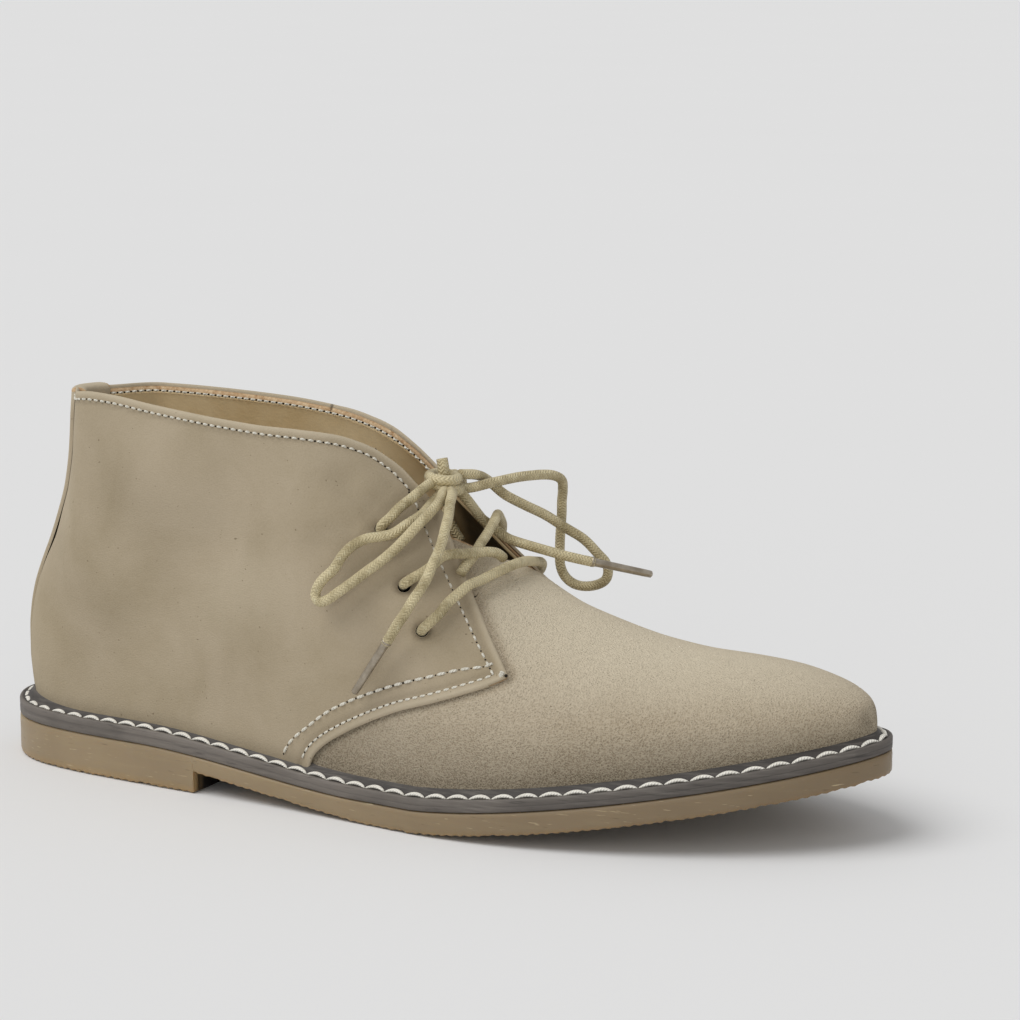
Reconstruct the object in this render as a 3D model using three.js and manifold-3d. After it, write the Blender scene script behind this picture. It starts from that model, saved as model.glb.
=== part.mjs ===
// A lace-up chukka boot for the right foot: gum rubber outsole with a low heel, stitched welt, and a hollow
// upper of vamp and quarters with three punched eyelets a side. Millimetres: X runs from heel to toe,
// -Y is the outer side of the foot, +Z is up. Shapes are worked out with the heel's back edge at X = 0.
import * as THREE from 'three';
import { mergeVertices } from 'three/addons/utils/BufferGeometryUtils.js';
import Module from 'manifold-3d';

const wasm = await Module();
wasm.setup();

// ---- Driving dimensions ----
const SOLE_LENGTH = 302;
const TOE_TIP_Y = 4;
const HEEL_LENGTH = 86;
const BREAST_HEIGHT = 6.7;
const FOREPART_GUM = 7.2;
const HEEL_GUM = 14.1;
const WELT_THICKNESS = 5.2;
const WELT_LEDGE = 4.8;
const FLAT_START = 150;
const FLAT_END = 168;
const TOE_SPRING = 20.9;
const TOE_SPRING_POWER = 1.3;
const WAIST_POWER = 1.2;
const WEDGE_START = 62;
const GAP = 0.3;
const VAMP_WALL = 1.7;
const QUARTER_PROUD = 1.1;
const INSOLE_THICKNESS = 3;
const INSOLE_CLEARANCE = 0.5;
const INSOLE_HEEL_DRAW = 3.4;
const HEEL_CENTRE = 40;
const COLLAR_ROOM = 126;
const HEEL_ROUND = 3;
const HEEL_PINCH = 0.08;
const EYELET_RADIUS = 2.15;
const LACE_RADIUS = 1.6;
const AGLET_RADIUS = 1.3;
const AGLET_LENGTH = 19;
const BACKSTAY_WIDTH = 15;
const BACKSTAY_THICKNESS = 1.1;
const TAB_FOOT = 112;
const TAB_TOP = 122.9;
const WIDE = 90;

// ---- Tables ----
// Outline of the sole: distance from the heel, half width on the outer side, half width on the inner side.
const OUTLINE = [
  { x: 3, outer: 10.5, inner: 11 },
  { x: 10, outer: 20, inner: 20.5 },
  { x: 20, outer: 26.5, inner: 27.5 },
  { x: 35, outer: 31, inner: 32 },
  { x: 60, outer: 35, inner: 33 },
  { x: 90, outer: 38.5, inner: 31.5 },
  { x: 120, outer: 42, inner: 31 },
  { x: 150, outer: 46.6, inner: 34.5 },
  { x: 175, outer: 50.4, inner: 41.5 },
  { x: 200, outer: 50.7, inner: 48.5 },
  { x: 225, outer: 46.9, inner: 51 },
  { x: 245, outer: 41.2, inner: 48.5 },
  { x: 262, outer: 34.4, inner: 43 },
  { x: 278, outer: 25.4, inner: 34.5 },
  { x: 290, outer: 15.8, inner: 25.5 },
  { x: 298, outer: 6.5, inner: 15.5 },
];
// Sections of the vamp's outer surface: height of the ridge, its place across the foot, roundness of the
// arch, bulge beyond the featherline on each side, and height of the widest place above the featherline.
const SECTIONS = [
  { x: 40, top: 150, ridge: 0, round: 3, bulgeOuter: 0.5, bulgeInner: 0.5, belly: 24 },
  { x: 85, top: 150, ridge: 0, round: 3, bulgeOuter: 0.5, bulgeInner: 0.5, belly: 26 },
  { x: 105, top: 148, ridge: 0, round: 2.7, bulgeOuter: 0.8, bulgeInner: 0.8, belly: 26 },
  { x: 120, top: 137, ridge: 0, round: 2.4, bulgeOuter: 1, bulgeInner: 1, belly: 24 },
  { x: 135, top: 119, ridge: 1, round: 2.2, bulgeOuter: 1, bulgeInner: 1.2, belly: 22 },
  { x: 150, top: 102, ridge: 2, round: 2.1, bulgeOuter: 1, bulgeInner: 1.5, belly: 19 },
  { x: 162, top: 89.6, ridge: 3, round: 2.05, bulgeOuter: 1.2, bulgeInner: 1.5, belly: 17 },
  { x: 173, top: 79, ridge: 4, round: 2, bulgeOuter: 1.4, bulgeInner: 1.5, belly: 15 },
  { x: 183, top: 71.3, ridge: 4.5, round: 1.95, bulgeOuter: 1.6, bulgeInner: 1.5, belly: 13 },
  { x: 195, top: 64.3, ridge: 5, round: 1.85, bulgeOuter: 1.6, bulgeInner: 1.5, belly: 12 },
  { x: 210, top: 58.3, ridge: 5, round: 1.85, bulgeOuter: 1.6, bulgeInner: 1.5, belly: 11 },
  { x: 225, top: 53.9, ridge: 5, round: 1.9, bulgeOuter: 1.5, bulgeInner: 1.5, belly: 10 },
  { x: 240, top: 51.3, ridge: 5, round: 2, bulgeOuter: 1.4, bulgeInner: 1.4, belly: 10 },
  { x: 255, top: 50.6, ridge: 5, round: 2.1, bulgeOuter: 1.3, bulgeInner: 1.3, belly: 9 },
  { x: 268, top: 49.6, ridge: 5, round: 2.2, bulgeOuter: 1.2, bulgeInner: 1.2, belly: 8 },
  { x: 280, top: 47.6, ridge: 4.6, round: 2.2, bulgeOuter: 1, bulgeInner: 1, belly: 7 },
  { x: 289, top: 44.9, ridge: 4.3, round: 2.2, bulgeOuter: 0.7, bulgeInner: 0.7, belly: 6 },
  { x: 294.5, top: 41.7, ridge: 4.1, round: 2.2, bulgeOuter: 0.4, bulgeInner: 0.4, belly: 4.5 },
  { x: 297.2, top: 35.5, ridge: 4, round: 2.2, bulgeOuter: 0, bulgeInner: 0, belly: 1 },
];
// Back seam, seen from the side: height, and distance of the vamp-level surface from the heel's back edge.
const BACK_SEAM = [
  { z: 19, x: 7.2 },
  { z: 25, x: 6.4 },
  { z: 32, x: 5.8 },
  { z: 40, x: 5.8 },
  { z: 47, x: 6.4 },
  { z: 55, x: 8 },
  { z: 63, x: 10.8 },
  { z: 72, x: 14.5 },
  { z: 80, x: 17.3 },
  { z: 90, x: 20.2 },
  { z: 102, x: 22 },
  { z: 112, x: 22.7 },
  { z: 124, x: 23.6 },
  { z: 150, x: 24 },
];
// Top line of the collar: height on the outer side and on the inner side.
const COLLAR = [
  { x: 10, outer: 120.8, inner: 119.8 },
  { x: 31, outer: 121.4, inner: 119.4 },
  { x: 42, outer: 122.7, inner: 119.1 },
  { x: 51, outer: 122.3, inner: 119 },
  { x: 66, outer: 120.7, inner: 118.6 },
  { x: 86, outer: 118.8, inner: 117.8 },
  { x: 110, outer: 116.8, inner: 115.4 },
  { x: 120, outer: 115.9, inner: 113.4 },
  { x: 129, outer: 114.3, inner: 110.6 },
  { x: 137, outer: 111.1, inner: 106.6 },
  { x: 145, outer: 105.2, inner: 101.2 },
  { x: 153, outer: 97.4, inner: 94.6 },
  { x: 175, outer: 76, inner: 76 },
];
// Front edge of the quarters, seen from the side, from the welt to the corner of the facings.
const QUARTER_EDGE = [
  { x: 128, z: 12 },
  { x: 130, z: 17.3 },
  { x: 134.5, z: 21.7 },
  { x: 141, z: 25.9 },
  { x: 150.6, z: 31 },
  { x: 163, z: 36.5 },
  { x: 174.4, z: 40.2 },
  { x: 183, z: 43.1 },
  { x: 191.8, z: 46.2 },
];
// Front edge of the facings, seen from the side, from that corner to the collar.
const FACING_EDGE = [
  { x: 196, z: 48.3 },
  { x: 188.8, z: 55.9 },
  { x: 183.2, z: 62.1 },
  { x: 177.7, z: 68.4 },
  { x: 172.3, z: 74.9 },
  { x: 169, z: 79 },
  { x: 165.2, z: 83.9 },
  { x: 161.4, z: 88.9 },
  { x: 158.5, z: 93 },
  { x: 155, z: 97.6 },
  { x: 138, z: 117 },
];
// Where the vamp's throat turns away from the facings, and where it meets the ridge.
const THROAT_SIDE = { x: 176, z: 70.5 };
const THROAT_RIDGE = { x: 183, z: 92 };
// Tongue: its lower edge behind the facing line, seen from the side, and its free top edge, seen in plan.
const TONGUE_SIDE = [
  { x: 140, z: 98.8 },
  { x: 187.5, z: 44.5 },
  { x: 208, z: 91.5 },
  { x: 208, z: 120 },
  { x: 140, z: 120 },
];
const TONGUE_EDGE = [
  { x: 152, y: -60 },
  { x: 152, y: -40 },
  { x: 154, y: -24 },
  { x: 163, y: -9.3 },
  { x: 168, y: -3.4 },
  { x: 172.5, y: 2 },
  { x: 176, y: 9 },
  { x: 177.5, y: 17 },
  { x: 177.5, y: 60 },
];
const TONGUE_LAYERS = { outside: -2, inside: -4.1 };
// Eyelets on the outer side; those on the inner side mirror them about the ridge.
const EYELETS = [
  { x: 148.4, y: -28, z: 88.3, normal: [0.42, -0.76, 0.5] },
  { x: 159.2, y: -33.7, z: 72.5, normal: [0.35, -0.73, 0.58] },
  { x: 167.6, y: -38.3, z: 60.3, normal: [0.27, -0.78, 0.56] },
];
const EYELET_MIRROR_Y = -3.4;

// ---- Curves worked out from the tables ----
// A smooth curve through a table's column that never overshoots between two rows.
function column(rows, key, name) {
  const xs = rows.map((row) => row[key]);
  const ys = rows.map((row) => row[name]);
  const last = xs.length - 1;
  const steps = xs.slice(1).map((x, i) => x - xs[i]);
  const slopes = steps.map((step, i) => (ys[i + 1] - ys[i]) / step);
  const tangents = xs.map((_, i) => {
    if (i === 0) return slopes[0];
    if (i === last) return slopes[last - 1];
    if (slopes[i - 1] * slopes[i] <= 0) return 0;
    const before = 2 * steps[i] + steps[i - 1];
    const after = steps[i] + 2 * steps[i - 1];
    return (before + after) / (before / slopes[i - 1] + after / slopes[i]);
  });
  return (value) => {
    const x = Math.min(Math.max(value, xs[0]), xs[last]);
    let i = 0;
    while (i < last - 1 && x > xs[i + 1]) i += 1;
    const t = (x - xs[i]) / steps[i];
    const a = (1 + 2 * t) * (1 - t) ** 2 * ys[i] + t * (1 - t) ** 2 * steps[i] * tangents[i];
    return a + t * t * (3 - 2 * t) * ys[i + 1] + t * t * (t - 1) * steps[i] * tangents[i + 1];
  };
}

const section = {};
for (const name of ['top', 'ridge', 'round', 'bulgeOuter', 'bulgeInner', 'belly']) {
  section[name] = column(SECTIONS, 'x', name);
}
const backSeam = column(BACK_SEAM, 'z', 'x');
const collarOuter = column(COLLAR, 'x', 'outer');
const collarInner = column(COLLAR, 'x', 'inner');

const clamp = (value) => Math.min(Math.max(value, 0), 1);
const ease = (t) => clamp(t) ** 2 * (3 - 2 * clamp(t));

// Heights along the sole: underside, top of the gum rubber, and top of the welt.
function undersideHeight(x) {
  const spring = TOE_SPRING * clamp((x - FLAT_END) / (SOLE_LENGTH - FLAT_END)) ** TOE_SPRING_POWER;
  const waist = BREAST_HEIGHT * clamp((FLAT_START - x) / (FLAT_START - HEEL_LENGTH)) ** WAIST_POWER;
  return x <= HEEL_LENGTH ? 0 : spring + waist;
}

function gumHeight(x) {
  const fall = ease((x - WEDGE_START) / (FLAT_START - WEDGE_START));
  return x < FLAT_START ? HEEL_GUM + (FOREPART_GUM - HEEL_GUM) * fall : undersideHeight(x) + FOREPART_GUM;
}

const weltHeight = (x) => gumHeight(x) + WELT_THICKNESS;

// The sole's outline in plan, drawn in by a distance: its points, its two sides, and its reach along a direction.
function plan(inset) {
  const heelAndOuter = [[0, 0], ...OUTLINE.map((row) => [row.x, -row.outer])];
  const toeAndInner = [[SOLE_LENGTH, TOE_TIP_Y], ...OUTLINE.map((row) => [row.x, row.inner]).reverse()];
  const knots = [...heelAndOuter, ...toeAndInner].map(([x, y]) => new THREE.Vector3(x, y, 0));
  const curve = new THREE.CatmullRomCurve3(knots, true, 'centripetal');
  const count = knots.length * 8;
  const points = [];
  for (let i = 0; i < count; i += 1) {
    const here = curve.getPoint(i / count);
    const before = curve.getPoint((i + count - 1) / count);
    const after = curve.getPoint((i + 1) % count / count);
    const along = after.sub(before).normalize();
    points.push([here.x - along.y * inset, here.y + along.x * inset]);
  }
  const reach = (x, y, dx, dy) => {
    let far = 0;
    points.forEach(([ax, ay], i) => {
      const [bx, by] = points[(i + 1) % count];
      const cross = dx * (by - ay) - dy * (bx - ax);
      const distance = ((ax - x) * (by - ay) - (ay - y) * (bx - ax)) / cross;
      const share = ((ax - x) * dy - (ay - y) * dx) / cross;
      if (share >= 0 && share <= 1 && distance > far) far = distance;
    });
    return far;
  };
  const xs = points.map(([x]) => x);
  const ys = points.map(([, y]) => y);
  const [heel, toe] = [Math.min(...xs), Math.max(...xs)];
  return { reach, heel, toe, middle: (Math.min(...ys) + Math.max(...ys)) / 2 };
}

// ---- Solids ----
function closed(positions, indices) {
  const raw = new THREE.BufferGeometry();
  raw.setAttribute('position', new THREE.Float32BufferAttribute(positions, 3));
  raw.setIndex(indices);
  return tidy(raw);
}

// Merges shared corners and drops the triangles that have shrunk to nothing.
function tidy(geometry) {
  geometry.deleteAttribute('normal');
  geometry.deleteAttribute('uv');
  const merged = mergeVertices(geometry, 1e-4);
  const index = merged.index.array;
  const kept = [];
  for (let i = 0; i < index.length; i += 3) {
    const [a, b, c] = [index[i], index[i + 1], index[i + 2]];
    if (a !== b && b !== c && c !== a) kept.push(a, b, c);
  }
  merged.setIndex(kept);
  return merged;
}

function solid(geometry) {
  const clean = tidy(geometry);
  const vertProperties = new Float32Array(clean.attributes.position.array);
  const triVerts = new Uint32Array(clean.index.array);
  return new wasm.Manifold(new wasm.Mesh({ numProp: 3, vertProperties, triVerts }));
}

function geometryOf(manifold) {
  const { vertProperties, triVerts } = manifold.getMesh();
  return closed(Array.from(vertProperties), Array.from(triVerts));
}

// A closed skin over rings with the same number of points, each ring turning the same way.
function skin(rings, capped) {
  const size = rings[0].length;
  const positions = rings.flat(2);
  const indices = [];
  for (let i = 0; i + 1 < rings.length; i += 1) {
    for (let k = 0; k < size; k += 1) {
      const a = i * size + k;
      const b = i * size + (k + 1) % size;
      indices.push(a, b, a + size, b, b + size, a + size);
    }
  }
  if (capped) {
    const end = (rings.length - 1) * size;
    for (let k = 1; k + 1 < size; k += 1) {
      indices.push(0, k + 1, k, end, end + k, end + k + 1);
    }
  }
  return closed(positions, indices);
}

// Stations along the sole, closer together at both rounded ends.
function stations(from, to, middle, ends) {
  const list = [];
  for (let i = 0; i < ends; i += 1) list.push(from + 30 * (1 - Math.cos((i / ends) * Math.PI / 2)));
  for (let i = 0; i <= middle; i += 1) list.push(from + 30 + ((to - from - 70) * i) / middle);
  for (let i = 1; i <= ends; i += 1) list.push(to - 40 * (1 - Math.sin((i / ends) * Math.PI / 2)));
  return list;
}

// A plate that follows the sole's outline between an underside and a top, drawn in a little behind the heel.
function plate(inset, underside, top, extra, heelDraw = 0) {
  const outline = plan(inset);
  const xs = [...stations(outline.heel, outline.toe, 20, 8), ...extra].sort((a, b) => a - b);
  const rings = xs.map((x) => {
    const inside = Math.min(Math.max(x, outline.heel + 1e-3), outline.toe - 1e-3);
    const middle = TOE_TIP_Y * ease((x - HEEL_CENTRE) / (SOLE_LENGTH - HEEL_CENTRE));
    const outer = middle - outline.reach(inside, middle, 0, -1);
    const inner = middle + outline.reach(inside, middle, 0, 1);
    const place = x + heelDraw * clamp(1 - x / 60) ** 2;
    const corners = [[outer, underside(x)], [inner, underside(x)], [inner, top(x)], [outer, top(x)]];
    return corners.map(([y, z]) => [place, y, z]);
  });
  return skin(rings, true);
}

// The upper's own form, grown outwards by a distance; the inner form is drawn in and dropped below the sole.
function form(grow, drop) {
  const outline = plan(WELT_LEDGE - grow);
  const ridgeLine = [];
  for (let x = HEEL_CENTRE; x <= 297.2; x += 0.65) {
    const slope = (section.top(x + 0.3) - section.top(x - 0.3)) / 0.6;
    const length = Math.hypot(1, slope);
    ridgeLine.push([x - (slope / length) * grow, section.top(x) + grow / length]);
  }
  const ridgeHeight = (x) => {
    let i = 1;
    while (i < ridgeLine.length - 1 && ridgeLine[i][0] < x) i += 1;
    const [[x0, z0], [x1, z1]] = [ridgeLine[i - 1], ridgeLine[i]];
    return z0 + (z1 - z0) * clamp((x - x0) / (x1 - x0));
  };
  // One side of a section: how far out and how high, from the featherline to the ridge.
  const wall = (x, side) => {
    const feather = outline.reach(x, section.ridge(x), 0, side);
    const bulge = side < 0 ? section.bulgeOuter(x) : section.bulgeInner(x);
    const base = weltHeight(x) + GAP;
    const waist = base + section.belly(x);
    const rise = Math.max(ridgeHeight(x), waist + 0.2) - waist;
    const power = 2 / section.round(x);
    const profile = [0, 0.5, 1].map((t) => [
      feather + bulge * Math.sin((t * Math.PI) / 2),
      base + (waist - base) * t,
    ]);
    for (const degrees of [8, 16, 24, 32, 41, 50, 59, 68, 77, 84, 90]) {
      const angle = THREE.MathUtils.degToRad(degrees);
      const out = degrees === 90 ? 0 : Math.cos(angle) ** power;
      profile.push([(feather + bulge) * out, waist + rise * Math.sin(angle) ** power]);
    }
    return profile;
  };
  const ring = (outerWall, innerWall, place, centre) => {
    const base = outerWall[0][1] - drop;
    const top = outerWall[outerWall.length - 1][1];
    const lower = [centre(base), place(outerWall[0][0], base, -1)];
    const climb = outerWall.slice(0, -1).map(([out, z]) => place(out, z, -1));
    const descend = innerWall.slice(0, -1).map(([out, z]) => place(out, z, 1)).reverse();
    return [...lower, ...climb, centre(top), ...descend, place(innerWall[0][0], base, 1)].reverse();
  };
  const rings = [];
  // Round the heel the sections fan about the heel's centre.
  const side = { [-1]: wall(HEEL_CENTRE, -1), 1: wall(HEEL_CENTRE, 1) };
  const heelReach = outline.reach(HEEL_CENTRE, 0, -1, 0);
  for (let turn = 90; turn > 0; turn -= 11.25) {
    const angle = THREE.MathUtils.degToRad(turn);
    const fan = (sign) => {
      const feather = outline.reach(HEEL_CENTRE, 0, -Math.sin(angle), sign * Math.cos(angle));
      const atRoom = side[sign].find(([, z]) => z > COLLAR_ROOM)[0] / side[sign][0][0];
      return side[sign].map(([out, z]) => {
        const across = out / side[sign][0][0];
        const behind = (HEEL_CENTRE - backSeam(z) + grow) / heelReach;
        const cap = z > COLLAR_ROOM ? across / atRoom : 1;
        const sideways = Math.cos(angle) ** 2 * across ** -HEEL_ROUND;
        const backward = Math.sin(angle) ** 2 * (behind * cap) ** -HEEL_ROUND;
        const pinch = 1 - HEEL_PINCH * ease((z - 30) / 60) * Math.sin(2 * angle) ** 2;
        return [feather * pinch * (sideways + backward) ** (-1 / HEEL_ROUND), z];
      });
    };
    const place = (out, z, sign) => [
      HEEL_CENTRE - out * Math.sin(angle), sign * out * Math.cos(angle), z,
    ];
    rings.push(ring(fan(-1), fan(1), place, (z) => [HEEL_CENTRE, 0, z]));
  }
  const toe = outline.toe - 0.02;
  const along = [0, 10, 20, 32, 44, 56, 66, 76, 85, 94, 102, 110, 118, 126, 134, 142, 150, 160, 170, 182, 194];
  const nose = [8, 17, 26, 36, 47, 58, 70, 80, 90].map((degrees) => {
    const angle = THREE.MathUtils.degToRad(degrees);
    return 194 + (toe - HEEL_CENTRE - 194) * Math.sin(angle);
  });
  for (const distance of [...along, ...nose]) {
    const x = HEEL_CENTRE + distance;
    const y = section.ridge(x);
    const place = (out, z, sign) => [x, y + sign * (distance === toe - HEEL_CENTRE ? 0 : out), z];
    rings.push(ring(wall(x, -1), wall(x, 1), place, (z) => [x, y, z]));
  }
  return solid(skin(rings, true));
}

// An upright prism whose outline is seen in plan.
function planPrism(outline, from, to) {
  const shape = new THREE.Shape(outline.map(({ x, y }) => new THREE.Vector2(x, y)));
  const prism = new THREE.ExtrudeGeometry(shape, { depth: to - from, bevelEnabled: false });
  prism.translate(0, 0, from);
  return solid(prism);
}

// A prism across the boot whose outline is seen from the side.
function sidePrism(outline, from, to) {
  const shape = new THREE.Shape(outline.map(({ x, z }) => new THREE.Vector2(x, z)));
  const prism = new THREE.ExtrudeGeometry(shape, { depth: to - from, bevelEnabled: false });
  prism.rotateX(Math.PI / 2);
  prism.translate(0, to, 0);
  return solid(prism);
}

// Everything above the collar's top line.
function aboveCollar() {
  const across = [-WIDE, -12, -4, 4, 12, WIDE];
  const rings = [];
  for (let x = -10; x <= 175; x += 5) {
    const line = across.map((y) => {
      const share = ease((y + 12) / 24);
      return [x, y, collarOuter(x) * (1 - share) + collarInner(x) * share];
    });
    rings.push([...line, [x, WIDE, 200], [x, -WIDE, 200]]);
  }
  return solid(skin(rings, true));
}

function eyeletPin({ x, y, z, normal }, mirror) {
  const axis = new THREE.Vector3(normal[0], normal[1] * mirror, normal[2]).normalize();
  const place = new THREE.Vector3(x, mirror > 0 ? y : 2 * EYELET_MIRROR_Y - y, z);
  const pin = new THREE.CylinderGeometry(EYELET_RADIUS, EYELET_RADIUS, 14, 10);
  pin.applyQuaternion(new THREE.Quaternion().setFromUnitVectors(new THREE.Vector3(0, 1, 0), axis));
  pin.translate(place.x, place.y, place.z);
  return solid(pin);
}

// A round cord along a smooth curve through its points, with a step every two and a half diameters.
function cord(points, radius) {
  const curve = new THREE.CatmullRomCurve3(points.map((point) => new THREE.Vector3(...point)));
  const shape = new THREE.Shape();
  for (let i = 0; i < 8; i += 1) {
    const angle = (i / 8) * Math.PI * 2;
    shape[i ? 'lineTo' : 'moveTo'](radius * Math.cos(angle), radius * Math.sin(angle));
  }
  const steps = Math.max(4, Math.round(curve.getLength() / (5 * radius)));
  return tidy(new THREE.ExtrudeGeometry(shape, { steps, bevelEnabled: false, extrudePath: curve }));
}

// ---- The upper ----
const quarterBack = [{ x: 100, z: 190 }, { x: -20, z: 190 }, { x: -20, z: -5 }, { x: 127, z: -5 }];
const quarterArea = [...QUARTER_EDGE, ...FACING_EDGE, ...quarterBack];
const facingAboveThroat = FACING_EDGE.filter(({ x }) => x < THROAT_SIDE.x).reverse();
const throatTop = [{ x: 183, z: 190 }, { x: 100, z: 190 }];
const throatArea = [...facingAboveThroat, THROAT_SIDE, THROAT_RIDGE, ...throatTop];
const collarRoom = aboveCollar();
const quarterForm = form(QUARTER_PROUD, 0);
const quarters = quarterForm.intersect(sidePrism(quarterArea, -WIDE, WIDE));
let upper = form(0, 0).add(quarters).subtract(form(-VAMP_WALL, 6));
upper = upper.subtract(collarRoom).subtract(sidePrism(throatArea, -WIDE, WIDE));
for (const eyelet of EYELETS) {
  for (const mirror of [1, -1]) upper = upper.subtract(eyeletPin(eyelet, mirror));
}

// ---- The tongue ----
const tongueBand = form(TONGUE_LAYERS.outside, 6).subtract(form(TONGUE_LAYERS.inside, 8));
const tongueArea = [...TONGUE_EDGE, { x: 230, y: 60 }, { x: 230, y: -60 }];
const tongue = tongueBand.intersect(sidePrism(TONGUE_SIDE, -WIDE, WIDE)).intersect(planPrism(tongueArea, 20, 120));

// ---- The backstay, which folds over the collar as a tab ----
const staySkin = form(QUARTER_PROUD + GAP + BACKSTAY_THICKNESS, 0).subtract(form(QUARTER_PROUD + GAP, 2));
const stayArea = [{ x: -5, z: 20.4 }, { x: 31, z: 20.4 }, { x: 31, z: 120 }, { x: -5, z: 120 }];
const strip = staySkin.intersect(sidePrism(stayArea, -BACKSTAY_WIDTH / 2, BACKSTAY_WIDTH / 2));
const tabArea = [{ x: -5, z: TAB_FOOT }, { x: 34, z: TAB_FOOT }, { x: 34, z: TAB_TOP }, { x: -5, z: TAB_TOP }];
const tabRoof = TAB_TOP - BACKSTAY_THICKNESS;
const foldArea = [{ x: -9, z: 90 }, { x: 44, z: 90 }, { x: 44, z: tabRoof }, { x: -9, z: tabRoof }];
const inside = -VAMP_WALL - GAP;
const fold = form(QUARTER_PROUD + GAP, 2).subtract(form(inside, 4)).intersect(sidePrism(foldArea, -WIDE, WIDE));
const tab = form(QUARTER_PROUD + GAP + BACKSTAY_THICKNESS, 0)
  .subtract(form(inside - BACKSTAY_THICKNESS, 6))
  .intersect(sidePrism(tabArea, -BACKSTAY_WIDTH / 2, BACKSTAY_WIDTH / 2))
  .subtract(fold);
const backstay = strip.add(tab);

// ---- The lace ----
const LOW_BAR = [
  [168, -40, 61], [171, -39.5, 63.5], [173, -37, 66], [174, -34, 68.5], [176, -30.5, 71],
  [177.5, -26.5, 73], [178.5, -21, 73.5], [180, -16, 74.5], [181.5, -10, 75.5], [182.5, -3, 76],
  [182.3, 5, 75.3], [181.3, 12, 73.8], [180.3, 17.5, 72.7], [179, 22, 71.6], [177.4, 26.3, 70],
  [175, 30.2, 67.5], [171.9, 33, 64.9],
];
const BAR_OVER = [
  [159.5, -35, 73.5], [162, -34.5, 75], [165, -32.5, 77], [167, -29.5, 79], [168.5, -26.5, 81],
  [170.5, -23, 81.5], [172.3, -19.3, 81], [174, -15.2, 80.7], [176, -11, 80.5], [177.5, -7, 79.5],
];
const BAR_UNDER = [
  [173, -18, 78], [172.5, -13.5, 79], [172, -7.5, 81.8], [171.5, -1, 84.3], [170.8, 4.6, 86.6],
  [169.3, 10, 87.7], [167.2, 15.4, 87], [166.2, 19.4, 84.6], [165, 22.9, 82.1], [163.4, 25.7, 79.5],
  [162.1, 27.6, 77.1],
];
const RISER_OUTER = [
  [149.5, -29.5, 90], [151.5, -28, 92], [153, -25, 94.5], [155, -20.5, 97], [156, -15.5, 99],
];
const RISER_INNER = [
  [149.5, 23.2, 90.2], [151.5, 21.6, 92.4], [153, 18.4, 95], [155, 14, 97.5], [156, 9.5, 99.5],
];
const LOOP_OUTER = [
  [158.5, -8.5, 96.5], [158.5, -14.5, 94.5], [159, -21, 92.5], [157.5, -28, 90.5], [154.5, -32.5, 88],
  [150.5, -34, 87], [147.5, -36, 86.5], [144, -38, 84.5], [141.5, -40, 81.5], [139.5, -42, 77.5],
  [136.6, -43.8, 74.3], [135, -44.5, 71.6], [134.7, -44.9, 69.2], [136.1, -45.1, 67.7], [138.6, -44.8, 68.4],
  [141.8, -43.8, 70.8], [145.9, -42.1, 74], [150, -40, 77.5], [153, -38, 80], [156.5, -35.5, 83.5], [159.5, -33.5, 87],
  [162, -31, 90.5], [164, -26, 94], [164, -19.5, 96.5], [162, -13, 98.5],
];
const LOOP_INNER = [
  [162, 3.5, 97], [167.5, 11.5, 98], [172.5, 23, 98.5], [177.5, 34, 97.5], [179, 37.5, 95.5],
  [178.5, 39.5, 92], [177.5, 41, 88], [177, 42, 84], [175.5, 44, 74], [175.5, 44.5, 66],
  [177, 45, 62.5], [180, 45, 60.5], [184, 45, 60], [188.5, 45, 61], [191.5, 44.5, 63], [192.5, 44, 66],
  [192, 43, 69], [190, 42, 71.5], [186, 39.5, 76.5], [181, 36, 80.5], [176, 31.5, 85], [171, 27, 88.5],
  [166.5, 21.5, 92.5], [163.5, 16, 97.5], [163, 8.5, 100.5],
];
const END_OUTER = [
  [166, -14.5, 98.5], [168, -20, 96.5], [170, -25, 93.5], [171.5, -30, 91], [172.5, -34, 88],
  [172.5, -37, 84.5], [172, -39.5, 81.5], [171.5, -42, 78], [170, -43.5, 74.5], [168, -45, 71],
  [166, -46.5, 67], [164, -47, 64], [162, -47.5, 60.5], [160, -47.5, 57.5],
];
const END_INNER = [
  [164, 0, 94], [164, 4, 91], [165.5, 8, 86.5], [167, 10.5, 84.5], [169, 11.5, 82.5], [172, 12, 80.5],
  [175, 12.5, 79.5], [178.5, 13.5, 78.5], [183.5, 15.5, 77], [189, 19, 75], [193, 22.5, 73.5],
  [196, 25, 72.5],
];
const KNOT = { centre: [158.2, -3, 101.2], size: [6.4, 5.6, 4.2] };

// The metal tip that carries on where a lace's end stops.
function aglet(route) {
  const [before, end] = route.slice(-2).map((point) => new THREE.Vector3(...point));
  const along = end.clone().sub(before).normalize();
  const tip = new THREE.CylinderGeometry(AGLET_RADIUS, AGLET_RADIUS, AGLET_LENGTH, 10);
  tip.applyQuaternion(new THREE.Quaternion().setFromUnitVectors(new THREE.Vector3(0, 1, 0), along));
  const middle = end.addScaledVector(along, AGLET_LENGTH / 2 + GAP);
  tip.translate(middle.x, middle.y, middle.z);
  return tidy(tip);
}

const crossing = solid(cord(BAR_OVER, LACE_RADIUS)).add(solid(cord(BAR_UNDER, LACE_RADIUS)));
const knot = new THREE.SphereGeometry(1, 14, 9);
knot.scale(...KNOT.size);
knot.translate(...KNOT.centre);

// ---- The assembly ----
const boot = new THREE.Group();

function add(name, geometry, color, roughness, metalness = 0) {
  const material = new THREE.MeshStandardMaterial({ color, roughness, metalness });
  const mesh = new THREE.Mesh(geometry, material);
  mesh.name = name;
  boot.add(mesh);
}

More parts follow.
